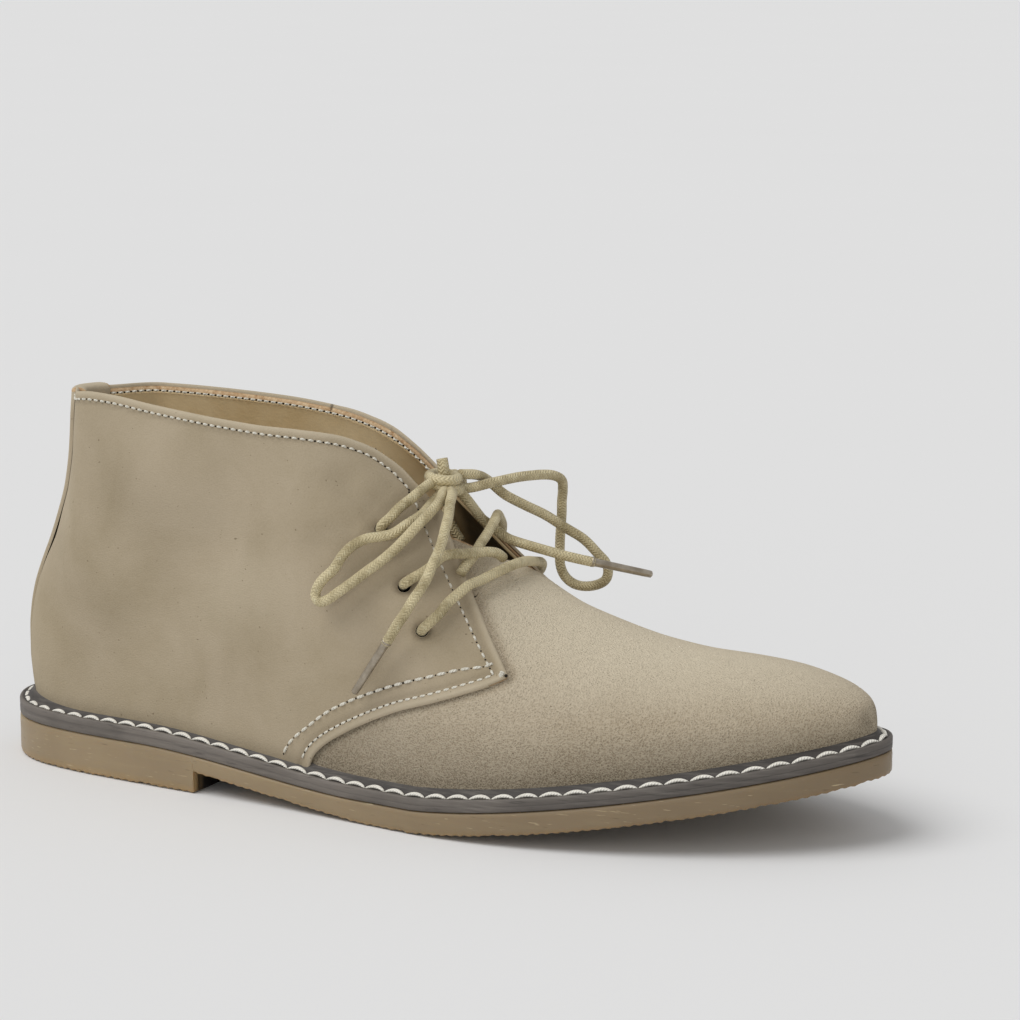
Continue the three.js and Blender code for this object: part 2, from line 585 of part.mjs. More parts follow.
const gumTop = (x) => gumHeight(x) - GAP / 2;
const weltBottom = (x) => gumHeight(x) + GAP / 2;
const insoleInset = WELT_LEDGE + VAMP_WALL + INSOLE_CLEARANCE;
const insoleBottom = (x) => weltHeight(x) + GAP;
const insoleTop = (x) => weltHeight(x) + GAP + INSOLE_THICKNESS;
const breast = [HEEL_LENGTH, HEEL_LENGTH + 0.01, FLAT_START, FLAT_END];

add('outsole', plate(0, undersideHeight, gumTop, breast), 0x8a7657, 0.45);
add('welt', plate(0, weltBottom, weltHeight, []), 0x55514c, 0.6);
add('insole', plate(insoleInset, insoleBottom, insoleTop, [], INSOLE_HEEL_DRAW), 0xa8946f, 0.6);
add('upper', geometryOf(upper), 0xa4967c, 0.9);
add('tongue', geometryOf(tongue), 0x9c8e74, 0.9);
add('backstay', geometryOf(backstay), 0xa4967c, 0.9);
add('lace_crossing', geometryOf(crossing), 0xa39a72, 0.7);
add('lace_low_bar', cord(LOW_BAR, LACE_RADIUS), 0xa39a72, 0.7);
add('lace_riser_outer', cord(RISER_OUTER, LACE_RADIUS), 0xa39a72, 0.7);
add('lace_riser_inner', cord(RISER_INNER, LACE_RADIUS), 0xa39a72, 0.7);
add('lace_knot', tidy(knot), 0xa39a72, 0.7);
add('lace_loop_outer', cord(LOOP_OUTER, LACE_RADIUS), 0xa39a72, 0.7);
add('lace_loop_inner', cord(LOOP_INNER, LACE_RADIUS), 0xa39a72, 0.7);
add('lace_end_outer', cord(END_OUTER, LACE_RADIUS), 0xa39a72, 0.7);
add('lace_end_inner', cord(END_INNER, LACE_RADIUS), 0xa39a72, 0.7);
add('aglet_outer', aglet(END_OUTER), 0x8c8070, 0.35, 0.8);
add('aglet_inner', aglet(END_INNER), 0x8c8070, 0.35, 0.8);

// The origin is on the floor under the middle of the sole.
boot.position.set(-SOLE_LENGTH / 2, -plan(0).middle, 0);

export default boot;
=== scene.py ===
"""A chukka boot for the right foot, in nubuck on a gum rubber sole.

Shapes are worked out in millimetres with the heel's back edge at x = 0, x towards the toe, -y the
outer side and z up, as in the part's source, and placed in the frame in metres.
"""

import math

import bpy
import numpy as np
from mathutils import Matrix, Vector, kdtree


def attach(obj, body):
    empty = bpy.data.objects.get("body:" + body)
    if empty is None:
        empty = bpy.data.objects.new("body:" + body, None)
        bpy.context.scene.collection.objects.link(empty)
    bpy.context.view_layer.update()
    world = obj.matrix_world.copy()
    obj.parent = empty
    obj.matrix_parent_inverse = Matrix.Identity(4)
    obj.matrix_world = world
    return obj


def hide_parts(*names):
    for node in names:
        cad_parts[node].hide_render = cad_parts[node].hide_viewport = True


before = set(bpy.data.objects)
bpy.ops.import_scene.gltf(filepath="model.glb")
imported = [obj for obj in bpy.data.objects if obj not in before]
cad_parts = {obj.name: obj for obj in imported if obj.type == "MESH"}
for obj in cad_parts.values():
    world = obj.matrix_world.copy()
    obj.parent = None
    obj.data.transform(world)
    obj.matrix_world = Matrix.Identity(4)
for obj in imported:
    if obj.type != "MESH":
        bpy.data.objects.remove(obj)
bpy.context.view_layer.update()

# ---- Sizes ----
SOLE_LENGTH = 302.0
TOE_TIP_Y = 4.0
SHIFT = np.array([-151.0, 0.05, 0.0])
HEEL_LENGTH = 86.0
BREAST_HEIGHT = 6.7
FOREPART_GUM = 7.2
HEEL_GUM = 14.1
WELT_THICKNESS = 5.2
WELT_LEDGE = 4.8
FLAT_START = 150.0
FLAT_END = 168.0
TOE_SPRING = 20.9
GAP = 0.3
WALL = 1.7
PROUD = 1.1
HEEL_CENTRE = 40.0
COLLAR_ROOM = 126.0
HEEL_ROUND = 3.0
HEEL_PINCH = 0.08
BACKSTAY_WIDTH = 15.0
EYELET_RADIUS = 2.15
EYELET_MIRROR_Y = -3.4
LACE_RADIUS = 1.6
BRAID_PITCH = 1.05
WELT_STITCH_PITCH = 7.5
WELT_STITCH_INSET = 2.1
SCALLOP_PITCH = 3.1
# Distances of the sheets from the vamp's outer surface, and where they start, stop and meet.
TONGUE_LEVEL = -2.0
STRIP_LEVEL = 2.4
SKIRT = 1.6
NOSE_START = 234
HEEL_TOP = 121.5
EDGE_MARGIN = 0.6
COLLAR_MARGIN = 0.7
QUARTERS_REACH = 206
TONGUE_REACH = 205
TONGUE_FOOT = 42
FACING_CORNER_Z = 47.2

OUTLINE = {
    "x": (3, 10, 20, 35, 60, 90, 120, 150, 175, 200, 225, 245, 262, 278, 290, 298),
    "outer": (10.5, 20, 26.5, 31, 35, 38.5, 42, 46.6, 50.4, 50.7, 46.9, 41.2, 34.4, 25.4, 15.8, 6.5),
    "inner": (11, 20.5, 27.5, 32, 33, 31.5, 31, 34.5, 41.5, 48.5, 51, 48.5, 43, 34.5, 25.5, 15.5),
}
SECTIONS = {
    "x": (40, 85, 105, 120, 135, 150, 162, 173, 183, 195, 210, 225, 240, 255, 268, 280, 289, 294.5, 297.2),
    "top": (150, 150, 148, 137, 119, 102, 89.6, 79, 71.3, 64.3, 58.3, 53.9, 51.3, 50.6, 49.6, 47.6, 44.9,
            41.7, 35.5),
    "ridge": (0, 0, 0, 0, 1, 2, 3, 4, 4.5, 5, 5, 5, 5, 5, 5, 4.6, 4.3, 4.1, 4),
    "round": (3, 3, 2.7, 2.4, 2.2, 2.1, 2.05, 2, 1.95, 1.85, 1.85, 1.9, 2, 2.1, 2.2, 2.2, 2.2, 2.2, 2.2),
    "outer": (0.5, 0.5, 0.8, 1, 1, 1, 1.2, 1.4, 1.6, 1.6, 1.6, 1.5, 1.4, 1.3, 1.2, 1, 0.7, 0.4, 0),
    "inner": (0.5, 0.5, 0.8, 1, 1.2, 1.5, 1.5, 1.5, 1.5, 1.5, 1.5, 1.5, 1.4, 1.3, 1.2, 1, 0.7, 0.4, 0),
    "belly": (24, 26, 26, 24, 22, 19, 17, 15, 13, 12, 11, 10, 10, 9, 8, 7, 6, 4.5, 1),
}
BACK_SEAM = {
    "z": (19, 25, 32, 40, 47, 55, 63, 72, 80, 90, 102, 112, 124, 150),
    "x": (7.2, 6.4, 5.8, 5.8, 6.4, 8, 10.8, 14.5, 17.3, 20.2, 22, 22.7, 23.6, 24),
}
COLLAR = {
    "x": (10, 31, 42, 51, 66, 86, 110, 120, 129, 137, 145, 153, 175),
    "outer": (120.8, 121.4, 122.7, 122.3, 120.7, 118.8, 116.8, 115.9, 114.3, 111.1, 105.2, 97.4, 76),
    "inner": (119.8, 119.4, 119.1, 119, 118.6, 117.8, 115.4, 113.4, 110.6, 106.6, 101.2, 94.6, 76),
}
QUARTER_EDGE = (
    (128, 8), (128, 12), (130, 17.3), (134.5, 21.7), (141, 25.9), (150.6, 31), (163, 36.5),
    (174.4, 40.2), (183, 43.1), (191.8, 46.2), (196, 48.3),
)
FACING_EDGE = (
    (196, 48.3), (188.8, 55.9), (183.2, 62.1), (177.7, 68.4), (172.3, 74.9), (169, 79), (165.2, 83.9),
    (161.4, 88.9), (158.5, 93), (155, 97.6), (138, 117), (130, 128),
)
THROAT = ((176, 70.5), (183, 92), (183, 190), (100, 190))
TONGUE_EDGE = (
    (152, -60), (152, -40), (154, -24), (163, -9.3), (168, -3.4), (172.5, 2), (176, 9), (177.5, 17),
    (177.5, 60),
)
# Upper of the two stitch rows that follow the quarter's front edge.
UPPER_ROW = (
    (190.6, 52.3), (189.4, 51.5), (181.7, 50.3), (173.7, 48.1), (163, 44.8), (151, 40), (142, 35.7),
    (135.5, 31.9), (128.3, 26.4), (123, 22.1), (120.2, 18.8), (119.1, 16.6),
)
EYELETS = (
    ((148.4, -28, 88.3), (0.42, -0.76, 0.5)),
    ((159.2, -33.7, 72.5), (0.35, -0.73, 0.58)),
    ((167.6, -38.3, 60.3), (0.27, -0.78, 0.56)),
)

# ---- Lace routes, as in the part's source, carried on into the eyelets and the knot ----
LOW_BAR = (
    (163.6, -33.5, 58), (166.6, -37, 59.6), (169, -39.8, 61.6), (171.3, -39.5, 63.8), (173, -37, 66),
    (174, -34, 68.5), (176, -30.5, 71), (177.5, -26.5, 73), (178.5, -21, 73.5), (180, -16, 74.5),
    (181.5, -10, 75.5), (182.5, -3, 76), (182.3, 5, 75.3), (181.3, 12, 73.8), (180.3, 17.5, 72.7),
    (179, 22, 71.6), (177.4, 26.3, 70), (175, 30.2, 67.5), (171.9, 33, 64.9), (168.6, 34, 61.9),
    (165.5, 30.4, 59.2), (162.5, 26.7, 57.5),
)
BAR_OVER = (
    (154.6, -27, 70), (157.6, -31.5, 72.1), (160.4, -34.8, 73.9), (162.4, -34.4, 75.3), (165, -32.5, 77),
    (167, -29.5, 79), (168.5, -26.5, 81), (170.5, -23, 81.5), (172.3, -19.3, 81), (174, -15.2, 80.7),
    (176, -11, 80.5), (177.5, -7, 79.5), (178, -3.5, 77.5),
)
BAR_UNDER = (
    (172.5, -22, 75.5), (173, -18, 78), (172.5, -13.5, 79), (172, -7.5, 81.8), (171.5, -1, 84.3),
    (170.8, 4.6, 86.6), (169.3, 10, 87.7), (167.2, 15.4, 87), (166.2, 19.4, 84.6), (165, 22.9, 82.1),
    (163.4, 25.7, 79.5), (162.1, 27.6, 77.1), (160.3, 28.8, 74.4), (157, 25.5, 71.8),
    (153.5, 20.5, 69.5),
)
RISER_OUTER = (
    (153, -24, 77), (150.5, -24.5, 81), (148.2, -25.5, 85), (148.7, -28.7, 88.6), (150, -29.5, 90.2),
    (151.6, -28, 92), (153, -25, 94.5), (155, -20.5, 97), (156, -15.5, 99), (156.5, -9, 100.5),
    (157, -4, 101.2),
)
RISER_INNER = (
    (153, 17.5, 77), (150, 18, 81), (147.2, 18.7, 85), (147.6, 22, 88.3), (149.5, 23.2, 90.2),
    (151.5, 21.6, 92.4), (153, 18.4, 95), (155, 14, 97.5), (156, 9.5, 99.5), (157, 5, 100.8),
    (157.6, 1, 101),
)
LOOP_OUTER = (
    (158, -3.5, 99), (158.5, -8.5, 96.5), (158.5, -14.5, 94.5), (159, -21, 92.5), (157.5, -28, 90.5),
    (154.5, -32.5, 88), (150.5, -34, 87), (147.5, -36, 86.5), (144, -38, 84.5), (141.5, -40, 81.5),
    (139.5, -42, 77.5), (136.6, -43.8, 74.3), (135, -44.5, 71.6), (134.7, -44.9, 69.2),
    (136.1, -45.1, 67.7), (138.6, -44.8, 68.4), (141.8, -43.8, 70.8), (145.9, -42.1, 74),
    (150, -40, 77.5), (153, -38, 80), (156.5, -35.5, 83.5), (159.5, -33.5, 87), (162, -31, 90.5),
    (164, -26, 94), (164, -19.5, 96.5), (162, -13, 98.0), (159.5, -6, 98.0),
)
LOOP_INNER = (
    (159, -2, 98.5), (162, 3.5, 97), (167.5, 11.5, 98), (172.5, 23, 98.5), (177.5, 34, 97.5),
    (179, 37.5, 95.5), (178.5, 39.5, 92), (177.5, 41, 88), (177, 42, 84), (175.5, 44, 74),
    (175.5, 44.5, 66), (177, 45, 62.5), (180, 45, 60.5), (184, 45, 60), (188.5, 45, 61),
    (191.5, 44.5, 63), (192.5, 44, 66), (192, 43, 69), (190, 42, 71.5), (186, 39.5, 76.5),
    (181, 36, 80.5), (176, 31.5, 85), (171, 27, 88.5), (166.5, 21.5, 92.5), (163.5, 16, 97.5),
    (163, 8.5, 100.5), (160.5, 2, 101.5),
)
END_OUTER = (
    (160, -4.5, 97.8), (163, -9.5, 98.0), (166, -14.5, 98.2), (168, -20, 96.5), (170, -25, 93.5),
    (171.5, -30, 91), (172.5, -34, 88), (172.5, -37, 84.5), (172, -39.5, 81.5), (171.5, -42, 78),
    (170, -43.5, 74.5), (168, -45, 71), (166, -46.5, 67), (164, -47, 64), (162, -47.5, 60.5),
    (160, -47.5, 57.5),
)
END_INNER = (
    (160.5, -3, 99), (162.5, -1.5, 96.5), (164, 0, 94), (164, 4, 91), (165.5, 8, 86.5),
    (167, 10.5, 84.5), (169, 11.5, 82.5), (172, 12, 80.5), (175, 12.5, 79.5), (178.5, 13.5, 78.5),
    (183.5, 15.5, 77), (189, 19, 75), (193, 22.5, 73.5), (196, 25, 72.5),
)
KNOT_FACING = 25.0
# The knot's two visible turns: middle, half width, half depth and tilt.
KNOT_TURNS = (((157.4, -3.4, 101.2), 4.3, 6.3, -0.4), ((157.9, -3.4, 98.7), 4.7, 5.2, -1.4))
KNOT_STUB = ((158, -3.5, 98.5), (158.3, -3.9, 101), (157.8, -4, 104), (157, -3.6, 107))


# ---- Curves ----
def column(table, key, name):
    """A smooth curve through a table's column that never overshoots between two rows."""
    xs = np.array(table[key], float)
    ys = np.array(table[name], float)
    step = np.diff(xs)
    slope = np.diff(ys) / step
    tangent = np.concatenate([slope[:1], np.zeros(len(xs) - 2), slope[-1:]])
    for i in range(1, len(xs) - 1):
        if slope[i - 1] * slope[i] > 0:
            before = 2 * step[i] + step[i - 1]
            after = step[i] + 2 * step[i - 1]
            tangent[i] = (before + after) / (before / slope[i - 1] + after / slope[i])

    def curve(value):
        x = np.clip(value, xs[0], xs[-1])
        i = np.clip(np.searchsorted(xs, x, side="right") - 1, 0, len(xs) - 2)
        t = (x - xs[i]) / step[i]
        near = (1 + 2 * t) * (1 - t) ** 2 * ys[i] + t * (1 - t) ** 2 * step[i] * tangent[i]
        return near + t * t * (3 - 2 * t) * ys[i + 1] + t * t * (t - 1) * step[i] * tangent[i + 1]

    return curve


def ease(t):
    """A smooth rise from 0 to 1."""
    t = np.clip(t, 0, 1)
    return t * t * (3 - 2 * t)


def bell(x, middle, width):
    return np.exp(-((x - middle) / width) ** 2)


def unit(vectors):
    """Vectors, one or many, scaled to a length of one."""
    return vectors / np.maximum(np.linalg.norm(vectors, axis=-1, keepdims=True), 1e-9)


def run_of(points):
    """How far along a line each of its points lies."""
    return np.concatenate([[0], np.cumsum(np.linalg.norm(np.diff(points, axis=0), axis=1))])


def length_of(points):
    return float(run_of(points)[-1])


def skin(order, count, closed=False):
    """Quads between rows of count points, with the rows taken in order."""
    i = np.arange(count if closed else count - 1)
    j = (i + 1) % count
    return np.concatenate([np.stack([a * count + i, a * count + j, b * count + j, b * count + i], 1)
                           for a, b in zip(order[:-1], order[1:])])


def smooth(points, closed=False, per_span=12):
    """A centripetal Catmull-Rom curve through points."""
    p = np.array(points, float)
    if closed:
        ring = np.concatenate([p[-1:], p, p[:2]])
    else:
        ring = np.concatenate([2 * p[:1] - p[1:2], p, 2 * p[-1:] - p[-2:-1]])
    out = []
    for i in range(len(ring) - 3):
        p0, p1, p2, p3 = ring[i:i + 4]
        d0, d1, d2 = (max(np.linalg.norm(b - a), 1e-4) ** 0.5 for a, b in ((p0, p1), (p1, p2), (p2, p3)))
        t1 = ((p1 - p0) / d0 - (p2 - p0) / (d0 + d1) + (p2 - p1) / d1) * d1
        t2 = ((p2 - p1) / d1 - (p3 - p1) / (d1 + d2) + (p3 - p2) / d2) * d1
        t = np.arange(per_span)[:, None] / per_span
        out.append(p1 + t1 * t + (3 * (p2 - p1) - 2 * t1 - t2) * t ** 2 + (2 * (p1 - p2) + t1 + t2) * t ** 3)
    if not closed:
        out.append(p[-1:])
    return np.concatenate(out)


def evenly(points, step, closed=False):
    """The same line with points a step apart."""
    line = np.concatenate([points, points[:1]]) if closed else points
    run = run_of(line)
    count = max(2, int(round(run[-1] / step)))
    at = np.linspace(0, run[-1], count + 1)
    if closed:
        at = at[:-1]
    return np.stack([np.interp(at, run, line[:, k]) for k in range(line.shape[1])], 1)


section = {name: column(SECTIONS, "x", name) for name in SECTIONS if name != "x"}
back_seam = column(BACK_SEAM, "z", "x")
collar_outer = column(COLLAR, "x", "outer")
collar_inner = column(COLLAR, "x", "inner")


def collar_height(x, y):
    share = ease((y + 12) / 24)
    return collar_outer(x) * (1 - share) + collar_inner(x) * share


def underside(x):
    x = np.asarray(x, float)
    spring = TOE_SPRING * np.clip((x - FLAT_END) / (SOLE_LENGTH - FLAT_END), 0, 1) ** 1.3
    waist = BREAST_HEIGHT * np.clip((FLAT_START - x) / (FLAT_START - HEEL_LENGTH), 0, 1) ** 1.2
    return np.where(x <= HEEL_LENGTH, 0, spring + waist)


def gum_height(x):
    x = np.asarray(x, float)
    fall = ease((x - 62) / (FLAT_START - 62))
    return np.where(x < FLAT_START, HEEL_GUM + (FOREPART_GUM - HEEL_GUM) * fall, underside(x) + FOREPART_GUM)


def welt_height(x):
    return gum_height(x) + WELT_THICKNESS


outer_side = [(x, -y) for x, y in zip(OUTLINE["x"], OUTLINE["outer"])]
inner_side = [(x, y) for x, y in zip(OUTLINE["x"], OUTLINE["inner"])]
SOLE = smooth([(0, 0)] + outer_side + [(SOLE_LENGTH, TOE_TIP_Y)] + inner_side[::-1], True, 48)


def to_left(along):
    return np.stack([-along[:, 1], along[:, 0]], 1)


def inward(points):
    """Unit directions across a closed line drawn with its inside on the left."""
    return to_left(unit(np.roll(points, -1, 0) - np.roll(points, 1, 0)))


def inset_outline(inset):
    return SOLE + inward(SOLE) * inset


def branches(outline):
    """The outline's outer and inner sides, each from heel to toe, with any further columns."""
    heel, toe = int(outline[:, 0].argmin()), int(outline[:, 0].argmax())
    turned = np.roll(outline, -heel, 0)
    toe = (toe - heel) % len(outline)
    outer = turned[:toe + 1]
    inner = np.concatenate([turned[toe:], turned[:1]])[::-1]
    return [side[np.concatenate([[True], np.diff(side[:, 0]) > 0])] for side in (outer, inner)]


# ---- The upper's form, sampled finely at several distances from the vamp's outer surface ----
LEVELS = np.array([-4.1, TONGUE_LEVEL, 0.0, PROUD, 2.5])
ROWS = 112
TURNS = np.radians(np.linspace(90, 0, 49)[:-1])
ALONG = np.concatenate([np.arange(HEEL_CENTRE, NOSE_START, 1.1), [NOSE_START]])
NOSE = np.radians(np.linspace(0, 90, 60)[1:])


def resample(out, z):
    """Rows evenly spaced up a wall, from its profile."""
    run = np.concatenate([[0], np.cumsum(np.hypot(np.diff(out), np.diff(z)))])
    at = np.linspace(0, run[-1], ROWS)
    return np.interp(at, run, out), np.interp(at, run, z)


def wall(x, side, ridge_height, reach):
    """One side's cross-section from the featherline to the ridge: distances out from the ridge, heights."""
    name = "outer" if side < 0 else "inner"
    bulge = float(section[name](x))
    base = float(welt_height(x)) + GAP
    waist = base + float(section["belly"](x))
    rise = max(ridge_height, waist + 0.2) - waist
    power = 2 / float(section["round"](x))
    t = np.linspace(0, 1, 20)
    angle = np.radians(90) * (0.5 - 0.5 * np.cos(np.linspace(0, np.pi, 260)[1:]))
    out = np.concatenate([reach + bulge * np.sin(t * np.pi / 2), (reach + bulge) * np.cos(angle) ** power])
    z = np.concatenate([base + (waist - base) * t, waist + rise * np.sin(angle) ** power])
    out[-1] = 0
    return resample(out, z)


def form(grow):
    """Columns of the form (station, row, xyz), with rows from the outer featherline to the inner."""
    outline = inset_outline(WELT_LEDGE - grow)
    sides = dict(zip((-1, 1), branches(outline)))
    xs = np.arange(HEEL_CENTRE, SECTIONS["x"][-1], 0.25)
    slope = (section["top"](xs + 0.3) - section["top"](xs - 0.3)) / 0.6
    length = np.hypot(1, slope)
    ridge_x = np.maximum.accumulate(xs - slope / length * grow)
    ridge_z = section["top"](xs) + grow / length
    toe = outline[:, 0].max() - 0.02
    stations = np.concatenate([ALONG, NOSE_START + (toe - NOSE_START) * np.sin(NOSE)])
    angles = {side: np.arctan2(side * outline[:, 1], HEEL_CENTRE - outline[:, 0]) for side in (-1, 1)}
    radius = np.hypot(outline[:, 1], HEEL_CENTRE - outline[:, 0])
    columns = []

    def whole(outer, inner):
        columns.append(np.concatenate([outer, inner[-2::-1]]))

    heel_wall = {}
    for side in (-1, 1):
        reach = side * np.interp(HEEL_CENTRE, *sides[side].T)
        heel_wall[side] = wall(HEEL_CENTRE, side, float(np.interp(HEEL_CENTRE, ridge_x, ridge_z)), reach)
    heel_reach = np.interp(0, np.sort(angles[1]), radius[np.argsort(angles[1])])
    for turn in TURNS:
        halves = []
        for side in (-1, 1):
            out, z = heel_wall[side]
            order = np.argsort(angles[side])
            feather = np.interp(np.pi / 2 - turn, angles[side][order], radius[order])
            across = np.maximum(out / out[0], 1e-3)
            at_room = np.interp(COLLAR_ROOM, z, across)
            behind = (HEEL_CENTRE - back_seam(z) + grow) / heel_reach
            cap = np.where(z > COLLAR_ROOM, across / at_room, 1)
            blend = (np.cos(turn) ** 2 * across ** -HEEL_ROUND
                     + np.sin(turn) ** 2 * (behind * cap) ** -HEEL_ROUND)
            pinch = 1 - HEEL_PINCH * ease((z - 30) / 60) * np.sin(2 * turn) ** 2
            r = feather * pinch * blend ** (-1 / HEEL_ROUND)
            halves.append(np.stack([HEEL_CENTRE - r * np.sin(turn), side * r * np.cos(turn), z], 1))
        whole(*halves)
    for i, x in enumerate(stations):
        y0 = float(section["ridge"](x))
        halves = []
        for side in (-1, 1):
            reach = side * (np.interp(x, *sides[side].T) - y0)
            if i == len(stations) - 1:
                reach = 0
            out, z = wall(x, side, float(np.interp(x, ridge_x, ridge_z)), max(reach, 0))
            halves.append(np.stack([np.full(ROWS, x), y0 + side * out, z], 1))
        whole(*halves)
    return np.array(columns)


FORM = np.stack([form(level) for level in LEVELS], 2)
STATION_X = FORM[:, 0, 2, 0]
U_COUNT = len(FORM)


def blend_levels(stack, level):
    """Positions at a distance from the vamp's surface, from positions at each of LEVELS."""
    level = np.broadcast_to(level, stack.shape[:1]).astype(float)
    i = np.clip(np.searchsorted(LEVELS, level) - 1, 0, len(LEVELS) - 2)
    t = ((level - LEVELS[i]) / (LEVELS[i + 1] - LEVELS[i]))[:, None]
    rows = np.arange(len(stack))
    return stack[rows, i] * (1 - t) + stack[rows, i + 1] * t


def spot(u, side, z, level):
    """A point of the form at a station, a side (-1 outer, 1 inner), a height and a distance."""
    i = int(np.clip(math.floor(u), 0, U_COUNT - 2))
    t = u - i
    cols = FORM[i] * (1 - t) + FORM[i + 1] * t
    half = cols[:ROWS] if side < 0 else cols[:ROWS - 2:-1]
    line = blend_levels(half, np.full(ROWS, level))
    return np.array([np.interp(z, line[:, 2], line[:, k]) for k in range(2)] + [z])


def station_at(x):
    """The station, with its fraction, of a place along the boot in front of the heel's centre."""
    return float(np.interp(x, STATION_X[len(TURNS):], np.arange(len(TURNS), U_COUNT)))


def station_past(x):
    return int(math.ceil(station_at(x)))


def spot_and_normal(u, side, z, level):
    here = spot(u, side, z, level)
    a = spot(u, side, z + 0.4, level) - spot(u, side, z - 0.4, level)
    b = spot(u + 0.4, side, z, level) - spot(max(u - 0.4, 0), side, z, level)
    return here, unit(np.cross(b, a) * -side)


# ---- Trimmed sheets ----
def clip(data, faces, value):
    """Keeps what is above zero. A new column marks the points made along the cut."""
    inside = value > 0
    data = np.concatenate([data, np.zeros((len(data), 1))], 1)
    count = inside[faces].sum(1)
    cut = faces[(count == 1) | (count == 2)]
    single = inside[cut].sum(1) == 1
    odd = np.where(single, inside[cut].argmax(1), inside[cut].argmin(1))
    cut = np.take_along_axis(cut, (odd[:, None] + np.arange(3)) % 3, 1)
    a, b, c = cut.T
    edges = np.sort(np.concatenate([np.stack([a, b], 1), np.stack([a, c], 1)]), 1)
    unique, place = np.unique(edges, axis=0, return_inverse=True)
    place = place.reshape(-1)
    p, q = unique.T
    share = np.clip(value[p] / (value[p] - value[q]), 0.002, 0.998)[:, None]
    fresh = data[p] + (data[q] - data[p]) * share
    fresh[:, -1] = 1
    ab = len(data) + place[:len(cut)]
    ac = len(data) + place[len(cut):]
    pieces = [
        faces[count == 3],
        np.stack([a, ab, ac], 1)[single],
        np.stack([ab, b, c], 1)[~single],
        np.stack([ab, c, ac], 1)[~single],
    ]
    data = np.concatenate([data, fresh])
    faces = np.concatenate(pieces)
    used, faces = np.unique(faces, return_inverse=True)
    return data[used], faces.reshape(-1, 3)


def grid_sheet(first, last):
    """The whole form between two stations as triangles, with its positions at every level as columns.

    A skirt along both edges reaches down behind the welt.
    """
    cols = FORM[first:last + 1]
    down = np.array([0, 0, SKIRT])
    cols = np.concatenate([cols[:, [0]] - down, cols, cols[:, [-1]] - down], 1)
    quads = skin(range(len(cols)), cols.shape[1])
    faces = np.concatenate([quads[:, [0, 3, 2]], quads[:, [0, 2, 1]]])
    return cols.reshape(-1, len(LEVELS) * 3), faces


def positions(data, level):
    return blend_levels(data[:, :len(LEVELS) * 3].reshape(-1, len(LEVELS), 3), level)


def segment_distance(x, z, start, end):
    """Distance in side view from a straight stretch."""
    (x0, z0), (x1, z1) = start, end
    dx, dz = x1 - x0, z1 - z0
    t = np.clip(((x - x0) * dx + (z - z0) * dz) / (dx * dx + dz * dz), 0, 1)
    return np.hypot(x - x0 - t * dx, z - z0 - t * dz)


def polygon_distance(x, z, line, area):
    """Distance in side view from a line, positive inside the area."""
    best = np.full(len(x), 1e9)
    for start, end in zip(line[:-1], line[1:]):
        best = np.minimum(best, segment_distance(x, z, start, end))
    inside = np.zeros(len(x), bool)
    for (x0, z0), (x1, z1) in zip(area, np.roll(area, -1, 0)):
        if z0 != z1:
            inside ^= ((z0 > z) != (z1 > z)) & (x < x0 + (z - z0) * (x1 - x0) / (z1 - z0))
    return np.where(inside, best, -best)


EDGE_LOW = evenly(smooth(QUARTER_EDGE), 1.5)
EDGE_HIGH = evenly(smooth(FACING_EDGE), 1.5)
EDGE = np.concatenate([EDGE_LOW, EDGE_HIGH[1:]])
QUARTER_AREA = np.concatenate([EDGE, [(130, 190), (-20, 190), (-20, -5), (127.5, -5)]])
HIGH_PART = EDGE_HIGH[EDGE_HIGH[:, 0] < 176][::-1]
THROAT_AREA = np.concatenate([HIGH_PART, THROAT])
THROAT_LINE = np.concatenate([HIGH_PART, THROAT[:3]])
TONGUE_LINE = evenly(smooth(TONGUE_EDGE), 1.5)
TONGUE_AREA = np.concatenate([TONGUE_LINE, [(330, 60), (330, -60)]])


def quarter_field(p):
    """Distance behind the quarters' front edge."""
    return polygon_distance(p[:, 0], p[:, 2], EDGE, QUARTER_AREA)


def collar_field(p):
    return collar_height(p[:, 0], p[:, 1]) - p[:, 2]


def eyelet_axes():
    """Each eyelet's centre and outward direction, on the outer side and mirrored to the inner."""
    for place, normal in EYELETS:
        for mirror in (1, -1):
            centre = np.array(place, float)
            axis = np.array(normal, float)
            if mirror < 0:
                centre[1] = 2 * EYELET_MIRROR_Y - centre[1]
                axis[1] = -axis[1]
            yield centre, unit(axis)


def eyelet_distance(p):
    """Distance from the nearest eyelet's axis."""
    best = np.full(len(p), 99.0)
    for centre, axis in eyelet_axes():
        offset = p - centre
        along = offset @ axis
        across = np.linalg.norm(offset - along[:, None] * axis, axis=1)
        best = np.minimum(best, np.where(np.abs(along) < 9, across, 99.0))
    return best


# Creases and soft dents in the leather, seen from the side: ends, width, depth (negative stands proud).
CREASES = {
    "x0": (149.5, 133, 140, 145, 128, 150, 205, 199, 215, 8, 60, 96, 30),
    "z0": (100, 103, 101, 90, 84, 62, 47, 40, 40, 78, 92, 62, 60),
    "x1": (142, 146, 143, 139, 150, 160, 196, 205, 228, 22, 90, 120, 52),
    "z1": (87, 92, 88, 76, 97, 44, 58, 30, 30, 70, 86, 70, 52),
    "width": (1.1, 4, 3, 4, 5, 6, 5, 6, 8, 6, 12, 14, 12),
    "depth": (-0.22, 0.35, -0.3, 0.3, 0.25, 0.35, 0.3, 0.25, 0.2, 0.35, 0.35, -0.35, 0.3),
}


